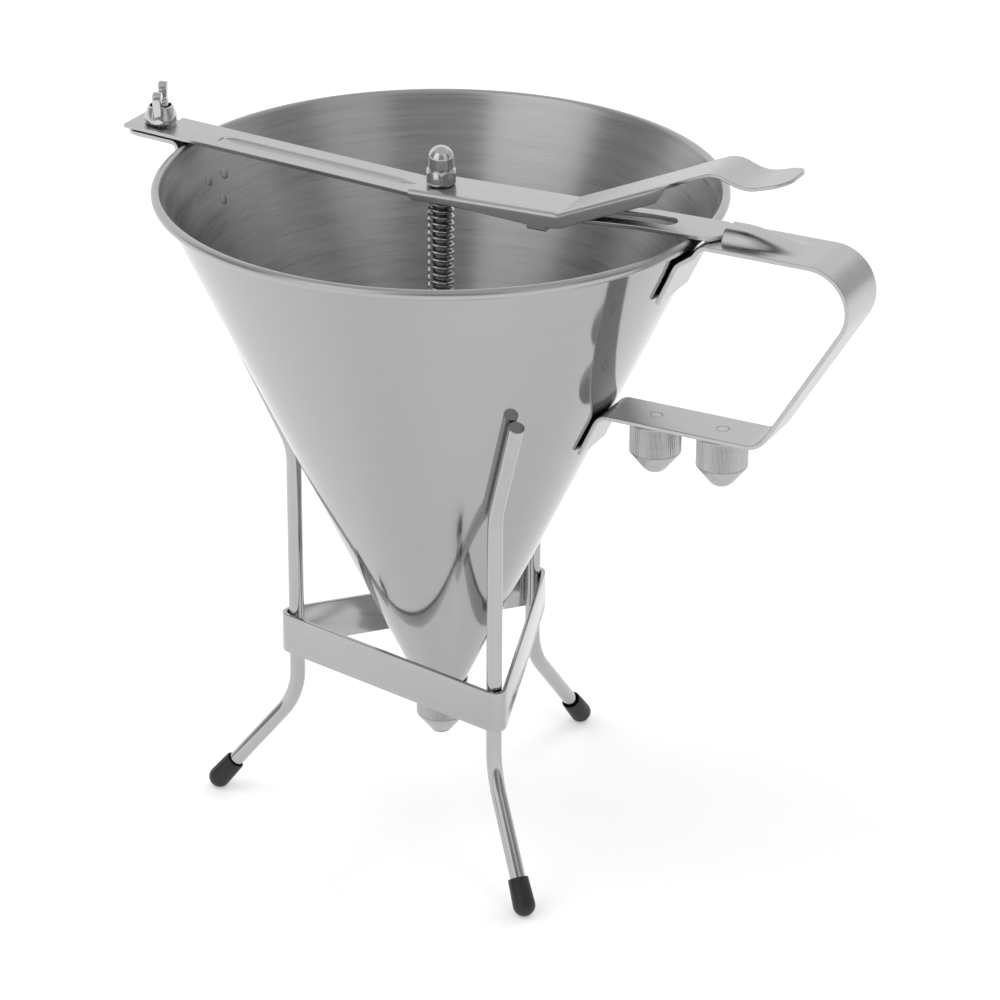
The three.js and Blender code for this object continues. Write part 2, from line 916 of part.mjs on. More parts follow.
function thumbLever() {
  const crest = { x: beadRadius + lever.crestOut, z: beadZ + lever.crestRise };
  const dip = { x: beadRadius + lever.dipOut, z: beadZ + lever.dipRise };
  const tip = { x: leverTipX, z: beadZ + lever.tipRise };
  const path = bentPath([
    { x: lever.leftX, z: leverLeftZ },
    { x: lever.bendX, z: leverBendZ, radius: lever.bendRadius },
    { ...crest, radius: lever.crestRadius },
    { ...dip, radius: lever.dipRadius },
    ...roundedRun(dip, tip, lever.tipRound),
  ]);
  const width = (x) => 2 * leverOuter - roundedOff(leverTipX - x, lever.tipRound);
  const hole = rodRadius + seatGap;
  const low = leverLeftZ - overrun;
  let body = solid(strip(path, lever.sheet, width));
  [1, -1].forEach((side) => {
    const edges = [side * leverInner, side * leverOuter].sort((a, b) => a - b);
    body = body.add(solid(sidePlate(leverWall(), ...edges))).add(leverLug(side));
  });
  const slot = slotCut(-hole - lever.slotBack, hole, 2 * hole, low, low + 2 * overrun);
  return geometryOf(body.subtract(slot));
}

// The handle

// The pocket pressed up out of the top strip, open towards the funnel.
function pocketShell() {
  const under = handleTopZ - handle.thickness / 2;
  const straightTo = beadRadius + pocket.straightToOut;
  const length = pocket.endOut - pocket.straightToOut;
  const stations = [pocketMouthX];
  for (let i = 0; i <= pocket.stations; i++)
    stations.push(straightTo + (length * i) / pocket.stations);
  const wave = (t) => (1 + Math.cos(Math.PI * Math.min(Math.max(t, 0), 1))) / 2;
  return skin(
    stations.map((x) => {
      const run = (x - straightTo) / length;
      const outer = [];
      const inner = [];
      for (let k = 0; k < pocket.columns; k++) {
        const t = (2 * k) / (pocket.columns - 1) - 1;
        const flank = (Math.abs(t) - pocketTopShare) / (1 - pocketTopShare);
        const z = under + pocket.rise * wave(run) * wave(flank);
        outer.push(new THREE.Vector3(x, t * pocket.halfWidth, z + handle.thickness));
        inner.unshift(new THREE.Vector3(x, t * pocket.halfWidth, z));
      }
      return [...outer, ...inner];
    }),
  );
}

function handleStrip() {
  const half = handle.thickness / 2;
  const onCone = (drop, radius) => {
    const z = beadZ - drop;
    return { x: offCone(z, seatGap + half), z, radius };
  };
  const outX = beadRadius + bead.radius + handle.beadClearance + half;
  const slope = Math.tan(radians(handle.slopeDegrees));
  const onSlope = (z, radius) => ({
    x: beadRadius + handle.slopeOut + slope * (z - handleSlopeZ),
    z,
    radius,
  });
  const path = bentPath([
    onCone(handle.topFlangeDrop),
    onCone(handle.topKneeDrop, handle.kneeRadius),
    { x: outX, z: beadZ - bead.radius, radius: handle.shoulderRadius },
    { x: outX + half, z: handleTopZ, radius: handle.shoulderRadius },
    onSlope(handleTopZ, handle.outerRadius - half),
    onSlope(handleBottomZ, handle.lowerRadius),
    onCone(handle.bottomDrop, handle.footRadius),
    onCone(handle.bottomFlangeDrop),
  ]);
  const widths = [
    [handleBottomZ, handle.bottomWidth],
    [handleTopZ - handle.outerRadius, handle.bendWidth],
    [handleTopZ, handle.topWidth],
  ];
  const width = (x, z) => {
    if (x > pocketMouthX) return between(widths, z);
    return z > handleSlopeZ ? handle.topWidth : handle.bottomWidth;
  };
  const lapped = pocket.halfWidth - pocket.lap;
  const [low, high] = [handleTopZ - overrun, handleTopZ + overrun];
  const pocketEnd = beadRadius + pocket.endOut - pocket.lap;
  const cut = box(pocketMouthX, pocketEnd, -lapped, lapped, low, high);
  let body = solid(strip(path, handle.thickness, width)).subtract(solid(cut));
  body = body.add(solid(pocketShell()));
  [postX, postX + post.spacing].forEach((x) => {
    const [from, to] = [handleBottomZ - overrun, handleBottomZ + overrun];
    body = body.subtract(solid(peg(post.shankRadius + seatGap, from, to, x)));
  });
  return geometryOf(body);
}

// Riveted through the bottom strip, whose underside is its z = 0.
function nozzlePost() {
  return turned([
    [0, -post.length],
    [post.radius, -post.length],
    [post.radius, -seatGap],
    [post.shankRadius, -seatGap],
    [post.shankRadius, handle.thickness],
    [0, handle.thickness],
  ]);
}

// The stand

// The middle of a foot's round end: its distance from the axis, and its height.
function footMiddle() {
  const z = foot.endRadius - foot.flat;
  const out = (leg.bendZ - z) * Math.tan(radians(leg.splayDegrees));
  return { x: leg.uprightRadius + out, z };
}

// The point of the splayed part that lies this far up from the foot's middle.
function upLeg(distance) {
  const { x, z } = footMiddle();
  const splay = radians(leg.splayDegrees);
  return { x: x - distance * Math.sin(splay), z: z + distance * Math.cos(splay) };
}

// Upright until it meets the cone, then leaning back along it.
function standLeg() {
  const path = bentPath([
    upLeg(foot.length - foot.socketDepth + seatGap),
    { x: leg.uprightRadius, z: leg.bendZ, radius: leg.lowBend },
    {
      x: leg.uprightRadius,
      z: offConeZ(leg.uprightRadius, legClearance),
      radius: leg.topBend,
    },
    { x: offCone(leg.topZ, legClearance), z: leg.topZ },
  ]);
  const circle = Array.from({ length: leg.sides }, (_, i) => {
    const angle = (2 * Math.PI * i) / leg.sides;
    return new THREE.Vector2(Math.cos(angle), Math.sin(angle)).multiplyScalar(leg.radius);
  });
  const tube = new THREE.ExtrudeGeometry(new THREE.Shape(circle), {
    steps: path.length - 1,
    extrudePath: new RodCurve(path),
    bevelEnabled: false,
  });
  return facingOut(tube);
}

// The rubber cap on a leg's end, cut flat where it meets the floor.
function rubberFoot() {
  const bore = leg.radius + seatGap;
  const profile = [
    [0, -foot.socketDepth],
    [bore, -foot.socketDepth],
    [bore, 0],
    [foot.mouthRadius, 0],
  ];
  for (let i = 0; i < arcSteps; i++) {
    const angle = ((Math.PI / 2) * i) / arcSteps;
    const down = foot.length + foot.endRadius * Math.sin(angle);
    profile.push([foot.endRadius * Math.cos(angle), -down]);
  }
  profile.push([0, -foot.length - foot.endRadius]);
  const mouth = upLeg(foot.length);
  const whole = turned(profile)
    .rotateY(-radians(leg.splayDegrees))
    .translate(mouth.x, 0, mouth.z);
  const reach = foot.length + foot.endRadius;
  const { x } = footMiddle();
  const floor = box(x - reach, x + reach, -reach, reach, -reach, 0);
  return geometryOf(solid(whole).subtract(solid(floor)));
}

// The triangular band round the outside of the legs.
function standBand() {
  const outline = (clearance) =>
    legTurns.flatMap(({ degrees }) =>
      Array.from({ length: arcSteps + 1 }, (_, k) => {
        const turn = 360 / legTurns.length;
        const angle = radians(degrees + turn * (k / arcSteps - 1 / 2));
        return new THREE.Vector2(
          leg.uprightRadius * Math.cos(radians(degrees)) + clearance * Math.cos(angle),
          leg.uprightRadius * Math.sin(radians(degrees)) + clearance * Math.sin(angle),
        );
      }),
    );
  const shape = new THREE.Shape(outline(legClearance + band.thickness));
  shape.holes.push(new THREE.Path(outline(legClearance)));
  return new THREE.ExtrudeGeometry(shape, { depth: band.height, bevelEnabled: false });
}

// The assembly, first about the funnel's axis, then moved to stand over the origin

const funnel = new THREE.Group();
const stand = new THREE.Group();

function add(group, name, geometry, material, place = {}) {
  const mesh = new THREE.Mesh(geometry, material);
  const { x = 0, z = 0, degrees = 0 } = place;
  mesh.name = name;
  mesh.position.set(x, 0, z);
  mesh.rotation.z = radians(degrees);
  group.add(mesh);
}

add(funnel, "funnel_cone", funnelCone(), materials.polished());
add(funnel, "outlet_spout", outletSpout(), materials.machined());
add(funnel, "nozzle_seal", nozzleSeal(), materials.whiteSilicone());
add(funnel, "fitted_nozzle", nozzleShape(boreRadius.fitted), materials.machined(), {
  z: nozzleTop,
});
add(funnel, "valve_rod", valveRod(), materials.machined());
add(funnel, "valve_plug", valvePlug(), materials.machined());
add(funnel, "valve_spring", valveSpring(), materials.wire());
add(funnel, "spring_collar", springCollar(), materials.machined());
add(funnel, "collar_pin", collarPin(0, 0), materials.machined());
add(funnel, "acorn_nut", acornNut(), materials.polished());
add(funnel, "cross_bar", crossBar(), materials.brushed());
add(funnel, "bar_bracket", barBracket(), materials.brushed());
add(funnel, "clamp_stud", clampStud(), materials.machined());
add(funnel, "wing_nut", wingNut(), materials.polished(), {
  x: clampX,
  z: barTop(clampX - wing.baseRadius) + seatGap,
  degrees: wing.turnDegrees,
});
add(funnel, "thumb_lever", thumbLever(), materials.brushed());
add(funnel, "handle_strip", handleStrip(), materials.brushed());
const underStrip = handleBottomZ - handle.thickness / 2;
["inner", "outer"].forEach((which, i) => {
  const x = postX + post.spacing * i;
  add(funnel, `nozzle_post_${which}`, nozzlePost(), materials.machined(), {
    x,
    z: underStrip,
  });
  add(funnel, `spare_nozzle_${which}`, nozzleShape(boreRadius[which]), materials.machined(), {
    x,
    z: underStrip - seatGap,
  });
});
add(stand, "stand_band", standBand(), materials.brushed(), { z: band.bottomZ });
legTurns.forEach(({ side, degrees }) => {
  add(stand, `stand_leg_${side}`, standLeg(), materials.wire(), { degrees });
  add(stand, `rubber_foot_${side}`, rubberFoot(), materials.blackRubber(), { degrees });
});

const dispensingFunnel = new THREE.Group();
dispensingFunnel.add(funnel, stand);
const bounds = new THREE.Box3().setFromObject(dispensingFunnel, true);
dispensingFunnel.position.x = -(bounds.min.x + bounds.max.x) / 2;

console.log(`axis at x = ${dispensingFunnel.position.x.toFixed(3)} mm`);
console.log(`least gap in the spring: ${springGap().toFixed(2)} mm`);

export default dispensingFunnel;
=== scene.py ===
import json
from math import atan, atan2, ceil, cos, degrees, exp, pi, radians, sin, sqrt, tan

import bmesh
import bpy
from mathutils import Matrix, Vector

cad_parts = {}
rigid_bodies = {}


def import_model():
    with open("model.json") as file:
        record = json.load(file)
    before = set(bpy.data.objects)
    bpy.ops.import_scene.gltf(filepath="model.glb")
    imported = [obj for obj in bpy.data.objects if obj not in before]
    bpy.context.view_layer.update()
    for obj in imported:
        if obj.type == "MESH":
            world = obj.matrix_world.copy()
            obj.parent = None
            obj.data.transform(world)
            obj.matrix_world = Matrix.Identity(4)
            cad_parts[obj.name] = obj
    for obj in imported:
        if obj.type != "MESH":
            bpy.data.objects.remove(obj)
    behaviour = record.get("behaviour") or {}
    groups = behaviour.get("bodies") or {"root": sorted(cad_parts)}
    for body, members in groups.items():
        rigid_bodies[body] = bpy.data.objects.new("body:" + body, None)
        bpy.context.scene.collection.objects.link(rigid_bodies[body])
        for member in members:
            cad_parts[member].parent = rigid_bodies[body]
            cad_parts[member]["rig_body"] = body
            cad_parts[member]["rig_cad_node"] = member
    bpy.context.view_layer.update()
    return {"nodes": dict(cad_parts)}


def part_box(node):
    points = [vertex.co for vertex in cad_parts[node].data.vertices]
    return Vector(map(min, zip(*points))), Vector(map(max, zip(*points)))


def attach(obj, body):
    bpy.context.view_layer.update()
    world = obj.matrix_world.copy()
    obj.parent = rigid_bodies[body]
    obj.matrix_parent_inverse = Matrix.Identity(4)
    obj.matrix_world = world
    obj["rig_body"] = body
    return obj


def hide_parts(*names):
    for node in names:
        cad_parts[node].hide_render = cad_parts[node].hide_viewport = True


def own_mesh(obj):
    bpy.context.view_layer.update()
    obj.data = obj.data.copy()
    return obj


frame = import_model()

mm = 0.001
tau = 2 * pi
hair = 0.001 * mm  # points that lie closer than this are one point
facing = 0.9  # a face looks along an axis where its normal reaches this far
poleRadius = 0.3 * mm  # of the small flat that closes a turned end


# lengths given in millimetres, alone or several together, as metres
def inMm(**lengths):
    return {
        name: tuple(part * mm for part in length) if isinstance(length, tuple) else length * mm
        for name, length in lengths.items()
    }


# places that everything else lines up with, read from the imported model

def nodeMiddle(node):
    low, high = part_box(node)
    return (low + high) / 2


funnelAxis = nodeMiddle("valve_rod")
axisX = funnelAxis.x
axisXY = (axisX, funnelAxis.y)


# selecting and shaping

def selectOnly(*pieces):
    bpy.ops.object.select_all(action="DESELECT")
    for piece in pieces:
        piece.select_set(True)
    bpy.context.view_layer.objects.active = pieces[0]


def startEdit(piece, mode="EDGE"):
    selectOnly(piece)
    bpy.ops.object.mode_set(mode="EDIT")
    bpy.ops.mesh.select_mode(type=mode)


def endEdit():
    bpy.ops.object.mode_set(mode="OBJECT")


def selectAll(action="SELECT"):
    bpy.ops.mesh.select_all(action=action)


# selects the vertices, edges or faces that pass a test, and nothing else
def pick(piece, kind, test):
    bpy.ops.mesh.select_mode(type=kind)
    selectAll("DESELECT")
    mesh = bmesh.from_edit_mesh(piece.data)
    for element in {"VERT": mesh.verts, "EDGE": mesh.edges, "FACE": mesh.faces}[kind]:
        if test(element):
            element.select_set(True)
    mesh.select_flush_mode()
    bmesh.update_edit_mesh(piece.data)


def added(primitive, name, **shape):
    bpy.ops.object.select_all(action="DESELECT")
    primitive(**shape)
    piece = bpy.context.object
    piece.name = name
    return piece


def linked(name, data):
    piece = bpy.data.objects.new(name, data)
    bpy.context.scene.collection.objects.link(piece)
    return piece


def placeInMesh(piece):
    selectOnly(piece)
    bpy.ops.object.transform_apply(location=True, rotation=True, scale=True)


def block(name, middle, size):
    piece = added(bpy.ops.mesh.primitive_cube_add, name, size=1, location=middle)
    piece.scale = size
    placeInMesh(piece)
    return piece


def mergeClose(gap=hair):
    selectAll()
    bpy.ops.mesh.remove_doubles(threshold=gap)


def faceOutward():
    selectAll()
    bpy.ops.mesh.normals_make_consistent(inside=False)


def applyModifier(piece, kind, **settings):
    selectOnly(piece)
    modifier = piece.modifiers.new(kind.lower(), kind)
    for setting, value in settings.items():
        setattr(modifier, setting, value)
    bpy.ops.object.modifier_apply(modifier=modifier.name)


def bevelEdges(piece, width, segments=2, angle=30, clamp=True):
    applyModifier(
        piece, "BEVEL", width=width, segments=segments, limit_method="ANGLE",
        angle_limit=radians(angle), use_clamp_overlap=clamp,
    )


def cutBy(piece, tool, operation):
    applyModifier(piece, "BOOLEAN", operation=operation, solver="EXACT", object=tool)
    bpy.data.objects.remove(tool)


faceWeight = 90  # how strongly broad faces hold the shading, of 100


def smooth(piece, angle, flatFaces):
    selectOnly(piece)
    bpy.ops.object.shade_smooth_by_angle(angle=radians(angle))
    if flatFaces:
        # broad faces keep their own direction, and only the narrow broken edges turn
        applyModifier(piece, "WEIGHTED_NORMAL", keep_sharp=True, weight=faceWeight)


def finish(piece, angle, material, body, slotName, *nodes, flatFaces=False):
    smooth(piece, angle, flatFaces)
    piece.data.materials.clear()
    for surface in material if isinstance(material, list) else [material]:
        piece.data.materials.append(surface)
    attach(piece, body)
    if nodes:
        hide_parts(*nodes)


def drawUp(distance):
    bpy.ops.mesh.extrude_region_move(
        TRANSFORM_OT_translate={"value": (0, 0, distance), "orient_type": "GLOBAL"}
    )


def widen(share, centre, z):
    bpy.ops.transform.resize(value=(share, share, 1), center_override=(*centre, z))


# draws the selected ring of (radius, z) out to each station in turn, and widens it there
def drawOut(ring, stations, centre):
    radius, z = ring
    for nextRadius, nextZ in stations:
        drawUp(nextZ - z)
        widen(nextRadius / radius, centre, nextZ)
        radius, z = nextRadius, nextZ


def circle(name, sides, radius, centre, z, turn=0):
    piece = added(
        bpy.ops.mesh.primitive_circle_add, name, vertices=sides, radius=radius,
        fill_type="NOTHING", location=(*centre, z), rotation=(0, 0, turn),
    )
    placeInMesh(piece)
    return piece


# "cap" closes both open ends, and "ring" joins them inside
def closeEnds(ending):
    selectAll("DESELECT")
    bpy.ops.mesh.select_non_manifold()
    if ending == "ring":
        bpy.ops.mesh.bridge_edge_loops()
    else:
        bpy.ops.mesh.fill_holes(sides=0)


def turnOut(name, stations, sides, centre, ending="cap"):
    radius, z = stations[0]
    piece = circle(name, sides, radius, centre, z)
    startEdit(piece)
    selectAll()
    drawOut(stations[0], stations[1:], centre)
    closeEnds(ending)
    faceOutward()
    endEdit()
    return piece


def turnedPiece(name, stations, sides, ending, angle, *place, centre=axisXY):
    finish(turnOut(name, stations, sides, centre, ending), angle, *place)


# stations (radius, z) on a round, from one angle to another
def arc(x, z, size, start, end, steps):
    angles = [start + (end - start) * step / steps for step in range(steps + 1)]
    return [(x + size * cos(angle), z + size * sin(angle)) for angle in angles]


# stations of a thread from z upward: each ridge starts, reaches its crest and leaves it at the
# given shares of the pitch
def threadRidges(core, crest, pitch, shares, z, top):
    foot, rise, fall = [pitch * share for share in shares]
    stations = []
    while z + pitch < top:
        stations += [(core, z + foot), (crest, z + rise), (crest, z + fall)]
        z += pitch
    return stations + [(core, z + foot)]


# a round wire through the points
def wireAlong(name, points, radius, resolution):
    curve = bpy.data.curves.new(name, "CURVE")
    curve.dimensions = "3D"
    line = curve.splines.new("POLY")
    line.points.add(len(points) - 1)
    for spot, point in zip(line.points, points):
        spot.co = (*point, 1)
    curve.bevel_depth = radius
    curve.bevel_resolution = resolution
    curve.use_fill_caps = True
    selectOnly(linked(name, curve))
    bpy.ops.object.convert(target="MESH")
    return bpy.context.object


packed = {
    "gap": 0.02 * mm,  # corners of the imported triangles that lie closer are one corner
    "flat": radians(1),
}


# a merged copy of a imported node, with its edges broken as a real sheet's are
def brokenEdged(name, node, width, segments=2, angle=30, isStep=None, stepHeight=0):
    source = frame["nodes"][node]
    piece = source.copy()
    piece.data = source.data.copy()
    piece.name = name
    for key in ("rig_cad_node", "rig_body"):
        del piece[key]
    piece.parent = None
    piece.hide_render = False
    bpy.context.scene.collection.objects.link(piece)
    startEdit(piece)
    mergeClose(packed["gap"])
    bpy.ops.mesh.dissolve_limited(angle_limit=packed["flat"])
    bpy.ops.mesh.customdata_custom_splitnormals_clear()
    if isStep:
        # each small step is drawn together into a point, level with the sheet
        selectAll("DESELECT")
        mesh = bmesh.from_edit_mesh(piece.data)
        for face in mesh.faces:
            face.select_set(isStep(face))
        bmesh.update_edit_mesh(piece.data)
        bpy.ops.mesh.merge(type="COLLAPSE")
        bpy.ops.transform.translate(value=(0, 0, -stepHeight))
    endEdit()
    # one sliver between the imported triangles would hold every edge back, so nothing is clamped
    bevelEdges(piece, width, segments, angle, clamp=False)
    return piece


# materials

# a node whose inputs are values or other nodes' outputs
def addNode(tree, kind, inputs, **settings):
    node = tree.nodes.new("ShaderNode" + kind)
    for setting, value in settings.items():
        setattr(node, setting, value)
    feed(tree, node, inputs)
    return node


def feed(tree, node, inputs):
    for socket, value in inputs.items():
        if isinstance(value, bpy.types.NodeSocket):
            tree.links.new(value, node.inputs[socket])
        else:
            node.inputs[socket].default_value = value


def output(tree, kind, inputs, **settings):
    return addNode(tree, kind, inputs, **settings).outputs[0]


def maths(tree, operation, *values):
    return output(tree, "Math", dict(enumerate(values)), operation=operation)


# the empty node tree of a material or the world
def emptyTree(owner):
    owner.use_nodes = True
    owner.node_tree.nodes.clear()
    return owner.node_tree


def newMaterial(name):
    material = bpy.data.materials.new(name)
    tree = emptyTree(material)
    shader = addNode(tree, "BsdfPrincipled", {})
    addNode(tree, "OutputMaterial", {0: shader.outputs[0]})
    return material, tree, shader


noiseRange = (0.3, 0.7)  # where most of a noise's values lie


def scaledNoise(tree, vector, scale, detail, roughness=0.55):
    mapping = output(tree, "Mapping", {"Vector": vector, "Scale": scale})
    inputs = {"Vector": mapping, "Scale": 1.0, "Detail": detail, "Roughness": roughness}
    return addNode(tree, "TexNoise", inputs).outputs["Fac"]


def spread(tree, value, low, high):
    inputs = {"Value": value, "To Min": low, "To Max": high}
    inputs["From Min"], inputs["From Max"] = noiseRange
    return output(tree, "MapRange", inputs)


def addBump(tree, shader, height, depth):
    inputs = {"Strength": 1.0, "Distance": depth, "Height": height}
    feed(tree, shader, {"Normal": output(tree, "Bump", inputs)})


# the level direction of a vector, and its height
def headingAndHeight(tree, vector):
    parts = addNode(tree, "SeparateXYZ", {0: vector}).outputs
    level = output(tree, "CombineXYZ", {"X": parts["X"], "Y": parts["Y"]})
    return output(tree, "VectorMath", {0: level}, operation="NORMALIZE"), parts["Z"]


# the colour's tones at both ends of a factor
def addTones(tree, shader, color, dark, pale, factor):
    inputs = {
        "A": (*[c * dark for c in color], 1),
        "B": (*[min(c * pale, 1) for c in color], 1),
        "Factor": factor,
    }
    tones = addNode(tree, "Mix", inputs, data_type="RGBA")
    feed(tree, shader, {"Base Color": tones.outputs["Result"]})


brushing = {
    "coarse": 0.23,  # share of the fine lines' number
    "lineTone": 0.65,
    "patchTone": 0.35,
    "polished": 0.72,  # shares of the roughness
    "dull": 1.08,
    "patchDull": 0.25,
    "acrossLines": 0.25,  # of a full turn: highlights stretch across the lines
}


# steel whose fine lines run along one direction: (few, many, many) lines per metre
def steelLines(
    name, color, roughness, lines, depth, stain=0.06, around=None, anisotropic=0.0, blotch=60
):
    material, tree, shader = newMaterial(name)
    feed(tree, shader, {"Metallic": 1.0, "Anisotropic": anisotropic})
    place = addNode(tree, "TexCoord", {}).outputs["Object"]
    along = place
    if around:
        # rings about an upright axis: the direction from the axis, and the height
        inputs = {"Vector": place, "Location": (-around[0], -around[1], 0)}
        heading, height = headingAndHeight(tree, output(tree, "Mapping", inputs))
        inputs = {0: heading, 1: output(tree, "CombineXYZ", {"Z": height})}
        along = output(tree, "VectorMath", inputs, operation="ADD")
    if around and anisotropic:
        tangent = output(tree, "Tangent", {}, direction_type="RADIAL", axis="Z")
        inputs = {"Tangent": tangent, "Anisotropic Rotation": brushing["acrossLines"]}
        feed(tree, shader, inputs)
    fine = scaledNoise(tree, along, lines, 2.0, 0.5)
    coarse = scaledNoise(tree, along, tuple(x * brushing["coarse"] for x in lines), 2.0)
    patches = scaledNoise(tree, place, (blotch,) * 3, 4.0, 0.6)
    relief = maths(tree, "MULTIPLY", maths(tree, "ADD", fine, coarse), 0.5)
    # colour and shine drift a little with the lines and with handling
    lineTone = spread(tree, relief, 0.0, brushing["lineTone"])
    tone = maths(tree, "MULTIPLY_ADD", patches, brushing["patchTone"], lineTone)
    addTones(tree, shader, color, 1 - stain, 1 + stain, tone)
    polished, dull = roughness * brushing["polished"], roughness * brushing["dull"]
    lineRough = spread(tree, relief, polished, dull)
    rough = maths(tree, "MULTIPLY_ADD", patches, roughness * brushing["patchDull"], lineRough)
    feed(tree, shader, {"Roughness": rough})
    addBump(tree, shader, relief, depth)
    return material


moulding = {
    "dark": 0.75,  # shares of the colour
    "pale": 1.35,
    "shiny": 0.85,  # shares of the roughness
    "dull": 1.2,
    "wide": 0.1,  # share of the grain's number
}


def softMaterial(name, color, roughness, grain, depth, subsurface=0.0):
    material, tree, shader = newMaterial(name)
    place = addNode(tree, "TexCoord", {}).outputs["Object"]
    speck = scaledNoise(tree, place, (grain,) * 3, 3.0)
    wide = scaledNoise(tree, place, (grain * moulding["wide"],) * 3, 2.0)
    addTones(tree, shader, color, moulding["dark"], moulding["pale"], wide)
    rough = spread(tree, speck, roughness * moulding["shiny"], roughness * moulding["dull"])
    inputs = {"Roughness": rough, "Subsurface Weight": subsurface, "Subsurface Scale": mm}
    feed(tree, shader, inputs)
    addBump(tree, shader, speck, depth)
    return material


mirrorSteel = steelLines(
    "coneOutside", (0.41, 0.41, 0.408), 0.09, (1.3, 1.3, 2600), 0.0004 * mm,
    stain=0.025, around=axisXY, anisotropic=0.35, blotch=12,
)
insideSteel = steelLines(
    "coneInside", (0.455, 0.455, 0.452), 0.3, (6, 6, 1500), 0.0016 * mm,
    stain=0.26, around=axisXY, anisotropic=0.85, blotch=20,
)
rimSteel = steelLines(
    "rimSteel", (0.45, 0.45, 0.447), 0.3, (2.5, 2.5, 1500), 0.0008 * mm,
    stain=0.05, around=axisXY, anisotropic=0.3, blotch=30,
)
rodSteel = steelLines(
    "rodSteel", (0.48, 0.48, 0.477), 0.22, (2, 2, 2500), 0.0015 * mm,
    stain=0.08, around=axisXY,
)
weldSteel = steelLines("weldSteel", (0.42, 0.42, 0.417), 0.34, (500,) * 3, 0.001 * mm, 0.1)
stripSteel = steelLines("stripSteel", (0.50, 0.50, 0.497), 0.27, (24, 2600, 24), 0.0012 * mm, 0.1)
bandSteel = steelLines("bandSteel", (0.435, 0.435, 0.432), 0.14, (30, 30, 2600), 0.001 * mm, 0.05)
wireSteel = steelLines("wireSteel", (0.46, 0.46, 0.457), 0.1, (700, 700, 25), 0.001 * mm, 0.05)
brightSteel = steelLines("brightSteel", (0.58, 0.58, 0.575), 0.1, (300,) * 3, 0.001 * mm)
springSteel = steelLines("springSteel", (0.50, 0.50, 0.497), 0.15, (300,) * 3, 0.001 * mm)
blackRubber = softMaterial("blackRubber", (0.012, 0.012, 0.013), 0.42, 900, 0.01 * mm)
whiteSilicone = softMaterial("whiteSilicone", (0.78, 0.78, 0.74), 0.4, 500, 0.004 * mm, 0.2)
print("materials made")


# the cone: one sheet whose top is rolled outward over a wire

cone = {
    **inMm(
        topRadius=96.4,  # of the outside, level with the middle of the rolled edge
        wallAcross=0.88, edgeCentre=97, edgeRadius=1.75, edgeHeight=240.9,
        support=1.2,  # keeps the shading of the long faces straight
    ),
    "slope": tan(radians(24.9)),
    "edgeTurn": (radians(118), radians(-128)),  # where the roll starts and ends
    "edgeSteps": 22, "sides": 256,
}
edgeX = cone["edgeCentre"]  # of the rolled edge, from the axis
edgeZ = cone["edgeHeight"]


def coneRadius(z, inside=False):
    out = cone["topRadius"] - (edgeZ - z) * cone["slope"]
    return out - cone["wallAcross"] if inside else out


def buildCone():
    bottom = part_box("funnel_cone")[0].z
    near = cone["support"]
    roll = arc(edgeX, edgeZ, cone["edgeRadius"], *cone["edgeTurn"], cone["edgeSteps"])
    leaveZ, returnZ = roll[0][1] - near, roll[-1][1] - near / 2
    up = [(coneRadius(z, True), z) for z in (bottom, bottom + near, leaveZ - near, leaveZ)]
    down = [(coneRadius(z), z) for z in (returnZ, returnZ - near, bottom + near, bottom)]
    piece = turnOut("coneSheet", up + roll + down, cone["sides"], axisXY, "ring")
    materials = [mirrorSteel, insideSteel, rimSteel]
    finish(piece, 46, materials, "funnel", "polished_steel", "funnel_cone")
    for face in piece.data.polygons:
        fromAxis = Vector((face.center.x - axisX, face.center.y, 0))
        if face.center.z > leaveZ - near / 2 or fromAxis.length > cone["topRadius"]:
            face.material_index = materials.index(rimSteel)
        elif face.normal.dot(fromAxis) < 0:
            face.material_index = materials.index(insideSteel)


buildCone()

# the handle's and bracket's spot welds show inside as shallow round marks
weld = {
    "radius": 1.9 * mm,
    "flatness": 0.14,  # its height over its width
    "places": [(4.5, 229.0), (-5.5, 228.5), (0.6, 221.4)],  # mm across the strip, and height
    "sides": (pi, 0),
}


def buildWeldMarks():
    lean = pi / 2 + atan(cone["slope"])
    marks = []
    for side in weld["sides"]:
        for across, height in weld["places"]:
            z = height * mm
            radius = coneRadius(z, inside=True)
            turn = side + across * mm / radius
            place = (axisX + radius * cos(turn), radius * sin(turn), z)
            mark = added(
                bpy.ops.mesh.primitive_uv_sphere_add, "weldMarks",
                segments=40, ring_count=20, radius=weld["radius"], location=place,
                rotation=(0, lean, turn),
            )
            bpy.ops.transform.resize(
                value=(1, 1, weld["flatness"]), orient_type="LOCAL", center_override=place
            )
            placeInMesh(mark)
            marks.append(mark)
    selectOnly(*marks)
    bpy.ops.object.join()
    piece = bpy.context.object
    piece.name = "weldMarks"
    finish(piece, 60, weldSteel, "funnel", "polished_steel")


buildWeldMarks()
print("cone made")


# outlet spout, seal and nozzles

nozzle = {
    **inMm(
        radius=8.9, knurlDepth=0.24,
        ridgeEnd=0.12,  # height over which the ridges run out
        gripHeight=11, plainTop=0.9, topEdge=0.35,
        shoulder=(0.06, 0.45),  # in, and down from the grip
        tipRadius=3.6, tipRound=0.9, socketRadius=7.1, socketDepth=9.9, socketEdge=(0.2, 0.25),
        boreMouth=(1.1, 3.7),  # its width round the bore, and its depth
        boreEdge=0.2, tipEdge=0.3,
    ),
    "ridges": 64,
    "noseEnd": (0.75, 1.2),  # out from the tip and up, in shares of its round
    "roundFrom": radians(35), "roundSteps": 4,
    "bores": {
        "fitted_nozzle": 3 * mm, "spare_nozzle_inner": 2 * mm, "spare_nozzle_outer": 2.5 * mm,
    },
}


